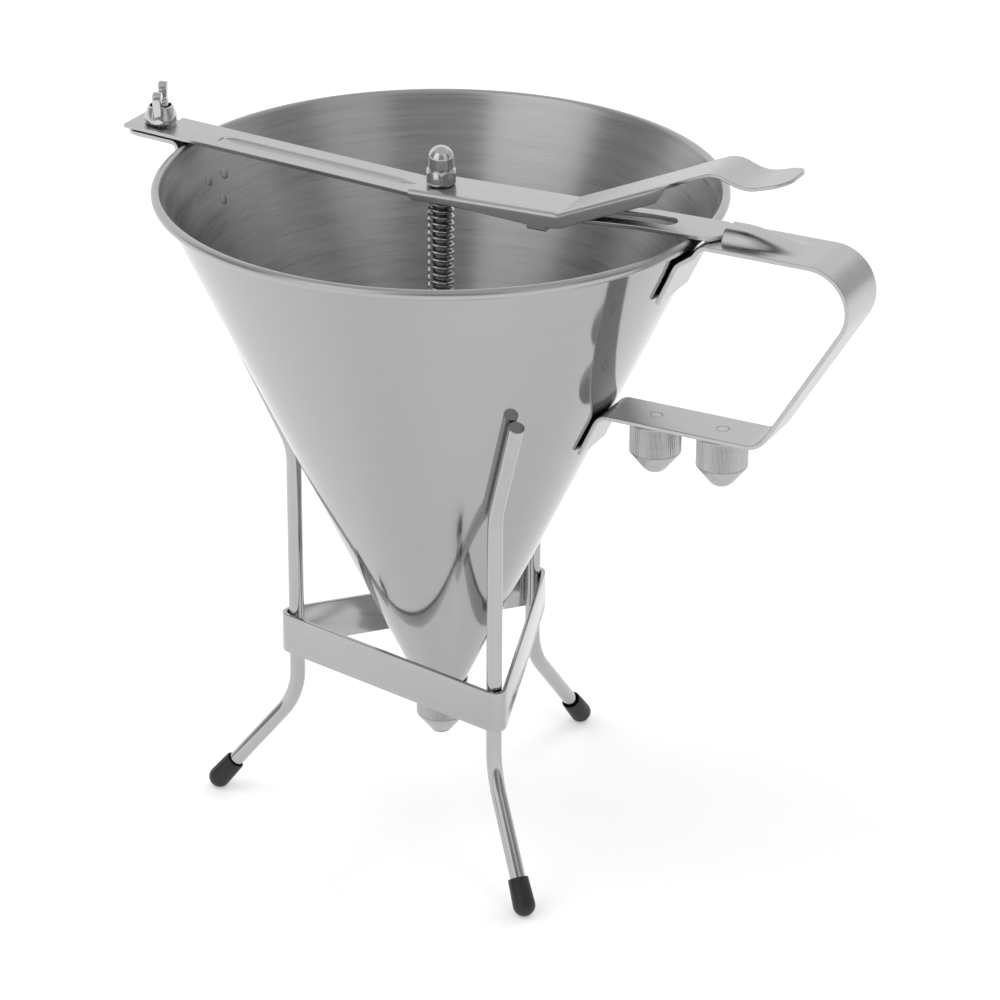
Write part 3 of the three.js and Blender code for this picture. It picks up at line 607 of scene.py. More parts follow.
# the grip's grooves are every other pair of points drawn in; the plain cone runs down to the tip
def buildNozzle(name, node, body):
    low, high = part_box(node)
    top, tip = high.z, low.z
    middle = nodeMiddle(node)
    centre = (middle.x, middle.y)
    outer, ridgeEnd, bore = nozzle["radius"], nozzle["ridgeEnd"], nozzle["bores"][node]
    grip = top - nozzle["gripHeight"]
    knurlTop = top - nozzle["plainTop"]
    inward = 1 - nozzle["knurlDepth"] / outer
    points = nozzle["ridges"] * 4
    piece = circle(name, points, outer, centre, grip)
    startEdit(piece)

    def isGroove(vert):
        angle = atan2(vert.co.y - centre[1], vert.co.x - centre[0]) % tau
        return round(angle / tau * points) % 4 in (0, 1)

    def pickRing(z):
        pick(piece, "VERT", lambda vert: abs(vert.co.z - z) < ridgeEnd / 2)
        bpy.ops.mesh.select_mode(type="EDGE")

    # the ring at a height is made round again, and left selected
    def endGrooves(z):
        near = ridgeEnd / 2
        pick(piece, "VERT", lambda vert: abs(vert.co.z - z) < near and isGroove(vert))
        widen(1 / inward, centre, z)
        pickRing(z)

    pick(piece, "VERT", isGroove)
    widen(inward, centre, grip)
    selectAll()
    bpy.ops.mesh.select_mode(type="EDGE")
    drawUp(knurlTop - grip)
    # the plain collar above, then down through the socket and the bore
    drawUp(ridgeEnd)
    endGrooves(knurlTop + ridgeEnd)
    socket, floor = nozzle["socketRadius"], top - nozzle["socketDepth"]
    edgeAcross, edgeDown = nozzle["socketEdge"]
    mouthAcross, mouthDown = nozzle["boreMouth"]
    upAndIn = [
        (outer, top - nozzle["topEdge"]), (outer - nozzle["topEdge"], top),
        (socket + edgeAcross, top), (socket, top - edgeDown), (socket, floor),
        (bore + mouthAcross, floor), (bore, floor - mouthDown),
        (bore, tip + nozzle["boreEdge"]), (bore + nozzle["boreEdge"], tip),
    ]
    drawOut((outer, knurlTop + ridgeEnd), upAndIn, centre)
    # from the grip down to the tip
    pickRing(grip)
    drawUp(-ridgeEnd)
    endGrooves(grip - ridgeEnd)
    shoulderIn, shoulderDown = nozzle["shoulder"]
    noseOut, noseUp = nozzle["noseEnd"]
    tipRadius, curl = nozzle["tipRadius"], nozzle["tipRound"]
    down = [
        (outer - shoulderIn, grip - shoulderDown),
        (tipRadius + noseOut * curl, tip + noseUp * curl),
    ]
    start = -nozzle["roundFrom"]
    down += arc(tipRadius - curl, tip + curl, curl, start, -pi / 2, nozzle["roundSteps"])
    down.append((bore + nozzle["tipEdge"], tip))
    drawOut((outer, grip - ridgeEnd), down, centre)
    closeEnds("ring")
    mergeClose()
    faceOutward()
    endEdit()
    turnedSteel = steelLines(
        name + "Steel", (0.46, 0.46, 0.455), 0.3, (2.5, 2.5, 2200), 0.002 * mm,
        stain=0.08, around=centre,
    )
    finish(piece, 30, turnedSteel, body, "machined_steel", node)


buildNozzle("fittedNozzle", "fitted_nozzle", "nozzle")
buildNozzle("spareNozzleInner", "spare_nozzle_inner", "spare_inner")
buildNozzle("spareNozzleOuter", "spare_nozzle_outer", "spare_outer")

spout = {
    **inMm(
        flangeRadius=9.6, flangeHeight=2.5, boreRadius=5, mouthDepth=3.3, mouthRadius=8.27,
        threadRadius=6.8, threadDepth=0.45, pitch=1.25, edge=0.3,
    ),
    "ridge": (0, 0.4, 0.55),
}


def buildSpout():
    low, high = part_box("outlet_spout")
    flange, edge = spout["flangeRadius"], spout["edge"]
    core = spout["threadRadius"] - spout["threadDepth"]
    threadTop = high.z - spout["flangeHeight"]
    thread = threadRidges(
        core, spout["threadRadius"], spout["pitch"], spout["ridge"], low.z + edge, threadTop
    )
    stations = [(spout["boreRadius"], low.z), (core, low.z), *thread]
    stations += [
        (core, threadTop), (flange - edge, threadTop), (flange, threadTop + edge),
        (flange, high.z - edge), (flange - edge, high.z), (spout["mouthRadius"], high.z),
        (spout["boreRadius"], high.z - spout["mouthDepth"]),
    ]
    place = (rodSteel, "funnel", "machined_steel", "outlet_spout")
    turnedPiece("outletSpout", stations, 96, "ring", 32, *place)


buildSpout()

seal = inMm(inner=5.2, edge=0.25)
collar = inMm(inner=3.3, edge=0.35)


def buildRing(name, ring, *place):
    low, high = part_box(place[-1])
    inner, edge = ring["inner"], ring["edge"]
    outer = (high.x - low.x) / 2
    stations = [
        (inner, low.z + edge), (inner + edge, low.z), (outer - edge, low.z), (outer, low.z + edge),
        (outer, high.z - edge), (outer - edge, high.z), (inner + edge, high.z),
        (inner, high.z - edge),
    ]
    turnedPiece(name, stations, 64, "ring", 50, *place)


buildRing("nozzleSeal", seal, whiteSilicone, "funnel", "white_silicone", "nozzle_seal")
buildRing("springCollar", collar, rodSteel, "valve", "machined_steel", "spring_collar")
print("outlet and nozzles made")


# the valve: rod, plug, cross pin, spring and acorn nut

valve = inMm(
    rodRadius=3, rodEdge=0.5, plugRadius=4.4, plugEdge=0.4, plugConeHeight=5.4,
    plugTipRadius=2.5, plugTipEdge=0.3, socketRadius=3.3, socketDepth=12, pinRadius=0.8,
    pinEdge=0.2,
)


def buildRod():
    low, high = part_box("valve_rod")
    radius, edge = valve["rodRadius"], valve["rodEdge"]
    stations = [
        (radius - edge, low.z), (radius, low.z + edge),
        (radius, high.z - edge), (radius - edge, high.z),
    ]
    place = (rodSteel, "valve", "machined_steel", "valve_rod")
    turnedPiece("valveRod", stations, 64, "cap", 40, *place)


def buildPlug():
    low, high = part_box("valve_plug")
    radius, edge = valve["plugRadius"], valve["plugEdge"]
    tip, tipEdge = valve["plugTipRadius"], valve["plugTipEdge"]
    inner, floor = valve["socketRadius"], high.z - valve["socketDepth"]
    stations = [
        (poleRadius, low.z), (tip - tipEdge, low.z), (tip, low.z + tipEdge),
        (radius, low.z + valve["plugConeHeight"]), (radius, high.z - edge),
        (radius - edge, high.z), (inner, high.z), (inner, floor), (poleRadius, floor),
    ]
    place = (rodSteel, "valve", "machined_steel", "valve_plug")
    turnedPiece("valvePlug", stations, 72, "cap", 32, *place)


def buildPin():
    low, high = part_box("collar_pin")
    pin = added(
        bpy.ops.mesh.primitive_cylinder_add, "collarPin",
        vertices=32, radius=valve["pinRadius"], depth=high.x - low.x,
        location=nodeMiddle("collar_pin"), rotation=(0, pi / 2, 0),
    )
    placeInMesh(pin)
    bevelEdges(pin, valve["pinEdge"])
    finish(pin, 35, rodSteel, "valve", "machined_steel", "collar_pin")


spring = {
    **inMm(wireRadius=0.6, coilRadius=4.2, pitch=2.8, endPitch=2.05),
    "easeCurls": 4, "curls": 25, "pointsPerCurl": 24,
}


# how far down the wire has wound after a number of curls: closer at both ends
def springDrop(curl):
    def down(n):
        close = (spring["pitch"] - spring["endPitch"]) * spring["easeCurls"]
        return spring["pitch"] * n - close * (1 - exp(-n / spring["easeCurls"]))

    half = spring["curls"] / 2
    return down(curl) if curl <= half else 2 * down(half) - down(spring["curls"] - curl)


def buildSpring():
    low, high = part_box("valve_spring")
    coil, wire = spring["coilRadius"], spring["wireRadius"]
    points = []
    for i in range(spring["curls"] * spring["pointsPerCurl"] + 1):
        curl = i / spring["pointsPerCurl"]
        x, y = coil * cos(tau * curl), coil * sin(tau * curl)
        points.append((axisX + x, y, high.z - wire - springDrop(curl)))
    piece = wireAlong("valveSpring", points, wire, 4)
    finish(piece, 60, springSteel, "funnel", "wire_steel", "valve_spring")
    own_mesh(piece)


nut = {
    **inMm(
        acrossFlats=10, hexHeight=5.2, edge=0.25, chamfer=1.1, domeRadius=4.55, neck=0.35,
        neckTop=0.3, domeFoot=0.7,
        overlap=3,  # how far the dome reaches down into the hexagon
        boreClearance=0.3, boreOver=1, cutOver=0.05, cutLevel=0.01,
    ),
    "faceShare": 0.97,  # the round of each end face, in shares of the flats
    "domeSteps": 14,
}


def buildAcornNut():
    low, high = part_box("acorn_nut")
    corner = nut["acrossFlats"] / sqrt(3)
    bottom, hexTop = low.z, low.z + nut["hexHeight"]
    hexagon = added(
        bpy.ops.mesh.primitive_cylinder_add, "acornNut",
        vertices=6, radius=corner, depth=nut["hexHeight"],
        location=(*axisXY, (bottom + hexTop) / 2), rotation=(0, 0, radians(30)),
    )
    placeInMesh(hexagon)
    bevelEdges(hexagon, nut["edge"], 3)
    # a turned cone takes the corners off, above and below
    inner, outer = nut["acrossFlats"] / 2 * nut["faceShare"], corner + nut["cutOver"]
    stations = [
        (inner, bottom - nut["cutLevel"]), (outer, bottom + nut["chamfer"]),
        (outer, hexTop - nut["chamfer"]), (inner, hexTop + nut["cutLevel"]),
    ]
    cutBy(hexagon, turnOut("nutEnvelope", stations, 96, axisXY), "INTERSECT")
    dome = nut["domeRadius"]
    stations = [
        (dome - nut["neck"], hexTop - nut["overlap"]),
        (dome - nut["neck"], hexTop + nut["neckTop"]),
        (dome, hexTop + nut["domeFoot"]),
    ]
    stations += arc(0, high.z - dome, dome, 0, pi / 2, nut["domeSteps"])[:-1]
    cutBy(hexagon, turnOut("nutDome", stations, 96, axisXY), "UNION")
    inside = valve["rodRadius"] + nut["boreClearance"]
    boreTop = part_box("valve_rod")[1].z + nut["boreOver"]
    stations = [(inside, bottom - nut["boreOver"]), (inside, boreTop)]
    cutBy(hexagon, turnOut("nutBore", stations, 64, axisXY), "DIFFERENCE")
    finish(hexagon, 32, brightSteel, "valve", "bright_steel", "acorn_nut")


buildRod()
buildPlug()
buildPin()
buildSpring()
buildAcornNut()
print("valve made")


# strips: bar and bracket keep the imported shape, with broken edges

sheetEdge = 0.28 * mm
rib = inMm(
    ends=(-102.8, -25.6),  # along the bar
    near=1, half=3, step=0.072,
)


def isRibEnd(face):
    middle = face.calc_center_median()
    gap = min(abs(middle.x - x) for x in rib["ends"])
    return abs(face.normal.x) > facing and abs(middle.y) < rib["half"] and gap < rib["near"]


bar = brokenEdged("crossBar", "cross_bar", sheetEdge, 3, 76, isRibEnd, rib["step"])
finish(bar, 60, stripSteel, "funnel", "brushed_steel", "cross_bar", flatFaces=True)
bracket = brokenEdged("barBracket", "bar_bracket", sheetEdge, 3, 50)
finish(bracket, 60, stripSteel, "funnel", "brushed_steel", "bar_bracket", flatFaces=True)

bending = {
    "degreesPerStep": 5,
    "fewestSteps": 3,
    "nearest": 0.05 * mm,  # points that come closer fall together
}


# points along a bent line of (x, z, radius) corners, none further apart than the step
def alongBends(corners, step, stepsPerBend=None):
    points = []
    for i, (x, z, radius) in enumerate(corners):
        here = Vector((x, z))
        if not radius:
            points.append(here)
            continue
        before, after = Vector(corners[i - 1][:2]), Vector(corners[i + 1][:2])
        into, out = (here - before).normalized(), (after - here).normalized()
        turn = into.angle(out)
        reach = radius * tan(turn / 2)
        start, end = here - into * reach, here + out * reach
        chord = (start + end) / 2
        centre = chord + (chord - here).normalized() * radius * cos(turn / 2)
        finest = ceil(degrees(turn) / bending["degreesPerStep"])
        steps = stepsPerBend or max(bending["fewestSteps"], finest)
        for n in range(steps + 1):
            share = n / steps
            fromStart = (start - centre) * sin((1 - share) * turn)
            toEnd = (end - centre) * sin(share * turn)
            points.append(centre + (fromStart + toEnd) / sin(turn))
    full = [points[0]]
    for point in points[1:]:
        for n in range(int((point - full[-1]).length / step)):
            left = (point - full[-1]).length
            full.append(full[-1] + (point - full[-1]) * min(1, step / max(left, step)))
        if (point - full[-1]).length > bending["nearest"]:
            full.append(point)
        else:
            full[-1] = point
    return full


# the line's point before and after each one give the direction there, and its upper side
def upOf(line, i, span=(1, 1)):
    behind, ahead = line[max(i - span[0], 0)], line[min(i + span[1], len(line) - 1)]
    run = (ahead - behind).normalized()
    return Vector((-run.y, run.x))


# the place raised off a line's point, and across the strip
def besideLine(point, up, rise, y):
    spot = point + up * rise
    return Vector((axisX + spot.x, y, spot.y))


# how far x is from the start to the end, from 0 to 1
def progress(x, start, end):
    return min(max((x - start) / (end - start), 0), 1)


# a value read from a table of (x, value), straight between its rows
def between(table, x):
    if x <= table[0][0]:
        return table[0][1]
    for (x0, v0), (x1, v1) in zip(table, table[1:]):
        if x <= x1:
            return v0 + (v1 - v0) * (x - x0) / (x1 - x0)
    return table[-1][1]


# a sheet from a grid whose points are moved one by one, given its thickness and broken edges
def pressedSheet(name, rows, thickness, offset, edge, isGone=None):
    across, along = len(rows[0]) - 1, len(rows) - 1
    piece = added(
        bpy.ops.mesh.primitive_grid_add, name, x_subdivisions=across, y_subdivisions=along, size=2
    )

    def rowAndColumn(place):
        return (place.y + 1) / 2 * along, (place.x + 1) / 2 * across

    startEdit(piece, "VERT")
    selectAll("DESELECT")
    mesh = bmesh.from_edit_mesh(piece.data)
    unwanted = []
    if isGone:
        for face in mesh.faces:
            row, column = rowAndColumn(face.calc_center_median())
            if isGone(int(row), int(column)):
                unwanted.append(face)
    for vert in mesh.verts:
        row, column = rowAndColumn(vert.co)
        vert.co = rows[round(row)][round(column)]
    bmesh.update_edit_mesh(piece.data)
    for face in unwanted:
        face.select_set(True)
    if unwanted:
        bpy.ops.mesh.delete(type="FACE")
    mergeClose(4 * hair)
    faceOutward()
    endEdit()
    applyModifier(piece, "SOLIDIFY", thickness=thickness, offset=offset)
    startEdit(piece)
    faceOutward()
    endEdit()
    bevelEdges(piece, edge, 3, 65, clamp=False)
    smooth(piece, 60, flatFaces=True)
    return piece


lever = {
    **inMm(
        outer=10,  # half of its width
        sheet=1.1, edge=0.22,
        fold=1.6,  # outside radius where the walls turn down
        tipRound=7, tipLength=7.35, step=1.6,
    ),
    "foldSteps": 6,
    "foldGone": (81, 93),  # x in mm where it starts to flatten, and is flat
    "wallGone": (83, 89.5), "wallRows": (1, 0.66, 0.33),
    "path": [  # in mm: x from the axis, height over the rolled edge, radius
        (-7.8, 0.65, 0), (48.5, 1.92, 4), (105.5, 26.7, 10), (116.5, 22.7, 14), (131.5, 27.1, 0),
    ],
    "depths": [  # in mm: x from the axis, how far the walls reach down from the sheet's middle
        (-7.8, 1.6), (-7.3, 2.4), (-6.4, 2.9), (11, 2.9), (37.6, 4.9), (45.1, 4.9), (53, 4.6),
    ],
    "tipSteps": 12,
    "tipFlat": 0.005,  # share of the round that is left at the very end
    "columns": 12,
}
slot = inMm(half=3.05, corner=2.9585, longer=1.1, cutHeight=12)
lug = {
    **inMm(
        start=37.6, end=45.1,
        drop=5.2,  # of its upper face under the lever's middle
        width=4.1, edge=0.5,
    ),
    "joint": 1.2,  # how far its outer end is drawn up, in sheets
}


# closer steps along the last stretch, where the tip is rounded off
def leverLine(corners):
    line = alongBends(corners, lever["step"])
    tipFrom = corners[-1][0] - lever["tipLength"]
    start, end = next(p for p in reversed(line) if p.x <= tipFrom), line[-1]
    line = [point for point in line if point.x <= tipFrom]
    for n in range(1, lever["tipSteps"] + 1):
        line.append(start + (end - start) * sin(pi / 2 * n / lever["tipSteps"]))
    return line


# the lever's section at a point: (y, how far under the top) from one wall's foot to the other's
def leverProfile(x, tipX):
    tip, fold = lever["tipRound"], lever["fold"]
    short = max(0.0, tip - (tipX - x))
    inward = tip - sqrt(max(tip**2 - short**2, 0))
    half = lever["outer"] - min(inward, tip * (1 - lever["tipFlat"]))
    depth = between(lever["depths"], x / mm) * mm + lever["sheet"] / 2
    gone = progress(x / mm, *lever["foldGone"])
    foldDepth = fold * (1 - gone * gone * (3 - 2 * gone))
    wall = max(depth - fold, 0) * (1 - progress(x / mm, *lever["wallGone"]))
    side = [(half, -foldDepth - wall * share) for share in lever["wallRows"]]
    for n in range(lever["foldSteps"] + 1):
        angle = pi / 2 * n / lever["foldSteps"]
        across = fold * (1 - cos(angle))
        side.append((half - across, -foldDepth * (1 - sin(angle))))
    columns = lever["columns"]
    middle = [((half - fold) * (1 - 2 * n / columns), 0) for n in range(1, columns)]
    return side + middle + [(-y, down) for y, down in reversed(side)]


def buildLever():
    corners = [(x * mm, edgeZ + rise * mm, radius * mm) for x, rise, radius in lever["path"]]
    line = leverLine(corners)
    sheet, outer = lever["sheet"], lever["outer"]
    rows = []
    for i, point in enumerate(line):
        up, section = upOf(line, i), leverProfile(point.x, corners[-1][0])
        rows.append([besideLine(point, up, sheet / 2 + down, y) for y, down in section])
    piece = pressedSheet("thumbLever", rows, sheet, -1, lever["edge"])
    # the slot that the rod comes up through
    wide = 2 * slot["half"]
    size = (wide + slot["longer"], wide, slot["cutHeight"])
    cutter = block("leverSlot", (axisX - slot["longer"] / 2, 0, edgeZ), size)
    startEdit(cutter)
    upright = slot["cutHeight"] / 2
    pick(cutter, "EDGE", lambda edge: abs(edge.verts[0].co.z - edge.verts[1].co.z) > upright)
    bpy.ops.mesh.bevel(offset=slot["corner"], offset_type="OFFSET", segments=8, affect="EDGES")
    endEdit()
    cutBy(piece, cutter, "DIFFERENCE")
    # lugs fold in under the bar and rock on it
    heights = [corner[:2] for corner in lever["path"]]
    top = edgeZ + between(heights, lug["start"] / mm) * mm - lug["drop"]
    wall = outer - sheet
    for side in (1, -1):
        middle = (axisX + (lug["start"] + lug["end"]) / 2, side * (outer - lug["width"] / 2))
        size = (lug["end"] - lug["start"], lug["width"], sheet)
        tab = block("leverLug", (*middle, top - sheet / 2), size)
        startEdit(tab, "FACE")
        # the end next to the wall is drawn up into it
        selectAll()
        bpy.ops.mesh.bisect(plane_co=(0, side * wall, 0), plane_no=(0, 1, 0))

        def isOuterTop(face):
            return face.normal.z > facing and abs(face.calc_center_median().y) > wall

        pick(tab, "FACE", isOuterTop)
        drawUp(sheet * lug["joint"])
        endEdit()
        bevelEdges(tab, lug["edge"], 4, 60)
        cutBy(piece, tab, "UNION")
    finish(piece, 60, stripSteel, "lever", "brushed_steel", "thumb_lever", flatFaces=True)


buildLever()
print("lever made")

handle = {
    **inMm(
        sheet=1.5,
        clearance=0.05,  # from the cone's wall
        level=0.02,  # points this close to the top count as on it
        # heights are taken down from the middle of the rolled edge
        upperFoot=(21.9, 6.9),  # where it starts on the cone, and leaves it
        upperFootBend=6, edgeGap=0.6,
        edgeStep=2.6,  # across and up, where it passes the rolled edge
        edgeBends=(2.4, 3.4), rise=1.1,
        grip=(35.75, 54.2),  # a point of it, out from the rolled edge and down
        gripBends=(14.25, 9), lowerFoot=(68.25, 83.9), lowerFootBend=5,
        mouthOut=10.6,  # the pocket's mouth, out from the rolled edge's middle
        straightTo=15, pocketEnd=40.5, pocketHalf=8, pocketRise=4.3, step=1.3, upperFootHeight=12,
        flangeFrom=60, holeRadius=2.2, holeCut=12,
    ),
    "gripLean": radians(30.9), "topShare": 0.4, "slitShare": 0.93, "columns": 44,
    "widths": [(-68.25, 19), (-14, 24), (1.1, 25)],  # in mm: height, width
}


def handleLine():
    half = handle["sheet"] / 2
    lean = (half + handle["clearance"]) / cos(atan(cone["slope"]))

    def onCone(drop, bend=0):
        return coneRadius(edgeZ - drop) + lean, edgeZ - drop, bend

    def onGrip(z, bend):
        out, drop = handle["grip"]
        return edgeX + out + tan(handle["gripLean"]) * (z - edgeZ + drop), z, bend

    topZ = edgeZ + handle["rise"]
    start, leave = handle["upperFoot"]
    lower, end = handle["lowerFoot"]
    past, step = edgeX + cone["edgeRadius"] + handle["edgeGap"] + half, handle["edgeStep"]
    return alongBends([
        onCone(start), onCone(leave, handle["upperFootBend"]),
        (past, edgeZ - step, handle["edgeBends"][0]), (past + step, topZ, handle["edgeBends"][1]),
        onGrip(topZ, handle["gripBends"][0]), onGrip(edgeZ - lower, handle["gripBends"][1]),
        onCone(lower, handle["lowerFootBend"]), onCone(end),
    ], handle["step"])


def handleWidth(point, mouthX):
    widest, narrowest = handle["widths"][-1][1], handle["widths"][0][1]
    if point.x < mouthX and point.y > edgeZ + handle["rise"] - handle["upperFootHeight"]:
        return widest * mm
    if point.y < edgeZ - handle["flangeFrom"]:
        return narrowest * mm
    return between(handle["widths"], (point.y - edgeZ) / mm) * mm


def buildHandle():
    topZ = edgeZ + handle["rise"]
    mouthX = edgeX + handle["mouthOut"]
    straightX, endX = edgeX + handle["straightTo"], edgeX + handle["pocketEnd"]

    def wave(t):
        return (1 + cos(pi * t)) / 2

    # the row at the mouth is there twice, flat and raised, and the sheet is slit between them
    line = handleLine()
    slit = next(i for i, p in enumerate(line) if p.x > mouthX and p.y > topZ - handle["level"])
    line[slit:slit] = [Vector((mouthX, topZ)), Vector((mouthX, topZ))]
    columns = handle["columns"]
    rows = []
    for i, point in enumerate(line):
        up = upOf(line, i, {slit: (1, 2), slit + 1: (2, 1)}.get(i, (1, 1)))
        width = handleWidth(point, mouthX)
        pressed = slit < i and point.y > topZ - handle["level"] and point.x < endX
        row = []
        for n in range(columns + 1):
            y = width / 2 * (2 * n / columns - 1)
            rise = 0
            if pressed:
                flank = progress(abs(y) / handle["pocketHalf"], handle["topShare"], 1)
                fall = progress(point.x, straightX, endX)
                rise = handle["pocketRise"] * wave(fall) * wave(flank)
            row.append(besideLine(point, up, rise, y))
        rows.append(row)

    def isSlit(row, column):
        y = (rows[slit][column].y + rows[slit][column + 1].y) / 2
        return row == slit and abs(y) < handle["pocketHalf"] * handle["slitShare"]

    piece = pressedSheet("handleStrip", rows, handle["sheet"], 0, sheetEdge, isSlit)
    for node in ("nozzle_post_inner", "nozzle_post_outer"):
        place = (nodeMiddle(node).x, 0, edgeZ - handle["lowerFoot"][0])
        hole = added(
            bpy.ops.mesh.primitive_cylinder_add, "postHole",
            vertices=48, radius=handle["holeRadius"], depth=handle["holeCut"], location=place,
        )
        cutBy(piece, hole, "DIFFERENCE")
    finish(piece, 60, stripSteel, "funnel", "brushed_steel", "handle_strip", flatFaces=True)


buildHandle()
print("handle made")

postEdge = 0.2 * mm
for node, name in (
    ("nozzle_post_inner", "nozzlePostInner"), ("nozzle_post_outer", "nozzlePostOuter"),
):
    post = brokenEdged(name, node, postEdge)
    finish(post, 40, rodSteel, "funnel", "machined_steel", node, flatFaces=True)
print("strips made")


# stud and wing nut

stud = {
    **inMm(radius=2.9, threadDepth=0.5, pitch=1, edge=0.3),
    "ridge": (0.1, 0.5, 0.62),
}


def buildStud():
    low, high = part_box("clamp_stud")
    core, edge = stud["radius"] - stud["threadDepth"], stud["edge"]
    top = high.z - edge
    thread = threadRidges(core, stud["radius"], stud["pitch"], stud["ridge"], low.z, top)
    stations = [(core, low.z), *thread, (core, top), (core - edge, high.z)]
    place = (brightSteel, "funnel", "machined_steel", "clamp_stud")
    centre = (nodeMiddle("clamp_stud").x, 0)
    turnedPiece("clampStud", stations, 48, "cap", 30, *place, centre=centre)


buildStud()
wingEdge = 0.55 * mm
wing = brokenEdged("wingNut", "wing_nut", wingEdge, 4, 28)
finish(wing, 50, brightSteel, "wing", "bright_steel", "wing_nut", flatFaces=True)
print("clamp made")


# the stand

leg = {
    **inMm(
        radius=2.75, uprightRadius=53, bendZ=41, topZ=181.5, lowBend=27, topBend=26,
        clearance=3.05, endRound=0.5,
        endGap=0.3,  # left at the bottom of the foot's socket
    ),
    "splay": radians(38.8), "bendSteps": 14,
    "turns": {"front": -41.7, "back": 78.3, "left": 198.3},  # in degrees
}
foot = {
    **inMm(
        boreRadius=3.05, mouthRadius=3.65, mouthEdge=(0.15, 0.25), endRadius=4, length=9.6,
        flat=0.5, socketDepth=7.6,
    ),
    "endSteps": 15,
}


# a place on the leg's splayed part, from the middle of the foot's round end
def upLeg(distance):
    z = foot["endRadius"] - foot["flat"]
    out = leg["uprightRadius"] + (leg["bendZ"] - z) * tan(leg["splay"])
    return out - distance * sin(leg["splay"]), z + distance * cos(leg["splay"])


def buildLeg(which, turn):
    lean = leg["clearance"] / cos(atan(cone["slope"]))
    upright = leg["uprightRadius"]
    kneeZ = edgeZ - (cone["topRadius"] + lean - upright) / cone["slope"]
    corners = [
        (*upLeg(foot["length"] - foot["socketDepth"] + leg["endGap"]), 0),
        (upright, leg["bendZ"], leg["lowBend"]),
        (upright, kneeZ, leg["topBend"]),
        (coneRadius(leg["topZ"]) + lean, leg["topZ"], 0),
    ]
    longest = 1  # the straight parts need no points between
    line = alongBends(corners, longest, leg["bendSteps"])
    points = [(axisX + p.x * cos(turn), p.x * sin(turn), p.y) for p in line]
    piece = wireAlong("standLeg" + which.capitalize(), points, leg["radius"], 10)
    startEdit(piece)
    mergeClose()
    faceOutward()
    endEdit()
    bevelEdges(piece, leg["endRound"], 4, 60)
    finish(piece, 40, wireSteel, "stand", "wire_steel", "stand_leg_" + which)


def buildFoot(which, turn):
    bore, mouth, floor = foot["boreRadius"], foot["mouthRadius"], -foot["socketDepth"]
    across, down = foot["mouthEdge"]
    stations = [
        (poleRadius, floor), (bore, floor), (bore, -down), (bore + across, 0),
        (mouth - across, 0), (mouth, -down),
    ]
    stations += arc(0, -foot["length"], foot["endRadius"], 0, -pi / 2, foot["endSteps"])[:-1]
    piece = turnOut("rubberFoot" + which.capitalize(), stations, 64, (0, 0))
    mouthX, mouthZ = upLeg(foot["length"])
    piece.matrix_world = (
        Matrix.Translation((axisX, 0, 0))
        @ Matrix.Rotation(turn, 4, "Z")
        @ Matrix.Translation((mouthX, 0, mouthZ))
        @ Matrix.Rotation(-leg["splay"], 4, "Y")
    )
    placeInMesh(piece)
    startEdit(piece)
    selectAll()
    # the foot stands flat on the floor
    bpy.ops.mesh.bisect(
        plane_co=(0, 0, 0), plane_no=(0, 0, 1), use_fill=True, clear_inner=True, threshold=hair
    )
    faceOutward()
    endEdit()
    finish(piece, 40, blackRubber, "stand", "black_rubber", "rubber_foot_" + which)


for which, turn in leg["turns"].items():
    buildLeg(which, radians(turn))
    buildFoot(which, radians(turn))

band = {"thickness": 1.5 * mm, "cornerSegments": 14, "edge": 0.25 * mm}


# a flat triangle whose corners are rounded round the legs, drawn up and given its thickness
def buildBand():
    low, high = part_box("stand_band")
    outerRound = leg["clearance"] + band["thickness"]
    toCorner = leg["uprightRadius"] + 2 * outerRound
    # a circle's first point is on +Y, and this one's has to be on the front leg
    turn = radians(leg["turns"]["front"]) - pi / 2
    piece = circle("standBand", 3, toCorner, axisXY, low.z, turn)
    startEdit(piece, "VERT")
    selectAll()
    bpy.ops.mesh.bevel(
        offset=outerRound * sqrt(3), offset_type="OFFSET", affect="VERTICES",
        segments=band["cornerSegments"], profile=0.5, clamp_overlap=True,
    )
    bpy.ops.mesh.select_mode(type="EDGE")
    selectAll()
    drawUp(high.z - low.z)
    faceOutward()
    endEdit()
    applyModifier(
        piece, "SOLIDIFY", thickness=band["thickness"], offset=-1, use_even_offset=True
    )
    bevelEdges(piece, band["edge"], 3, 60)
    finish(piece, 40, bandSteel, "stand", "brushed_steel", "stand_band")


buildBand()
print("stand made")


# floor, light and camera

studio = {
    "floorSize": 6.0, "floorDrop": 0.2 * mm, "floorTone": 0.8,
    "floorLift": 0.32,  # light of the floor's own, for the rays that see it as a backdrop
    "horizon": (0.05, -0.02),  # sine of where the room gives way to the floor's white
    "sweep": 1.0, "dark": 0.34,
    "darkSide": (-50, 128, 14),  # heading, half width and edge in degrees
    "ceiling": (0.5, 0.85, 0.62),  # sine of where the walls give way, and the tone above
    # heading, half width, edge in degrees, sine of the lowest and highest point, strength
    "panels": [
        (-108, 24, 4, 0.05, 0.8, 0.8), (-22, 14, 8, 0.05, 0.75, 0.38),
        (54, 30, 8, 0.05, 0.75, 0.25),
    ],
    "panelEdge": (0.06, 0.08),  # how soft their lower and upper edges are
    "lamps": [  # place, size, power
        ((-1.2, -0.5, 1.9), 1.3, 12), ((1.4, -0.5, 1.5), 1.0, 5), ((0.3, 1.6, 1.7), 1.2, 9),
    ],
    "lampShape": 1.3,  # height over width
    "lampAim": (0, 0, 0.13),
}
white = (1, 1, 1, 1)


# 1 for any of the named kinds of ray
def seenBy(tree, *kinds):
    seen = addNode(tree, "LightPath", {})
    joined = seen.outputs[kinds[0]]
    for kind in kinds[1:]:
        joined = maths(tree, "MAXIMUM", joined, seen.outputs[kind])
    return joined


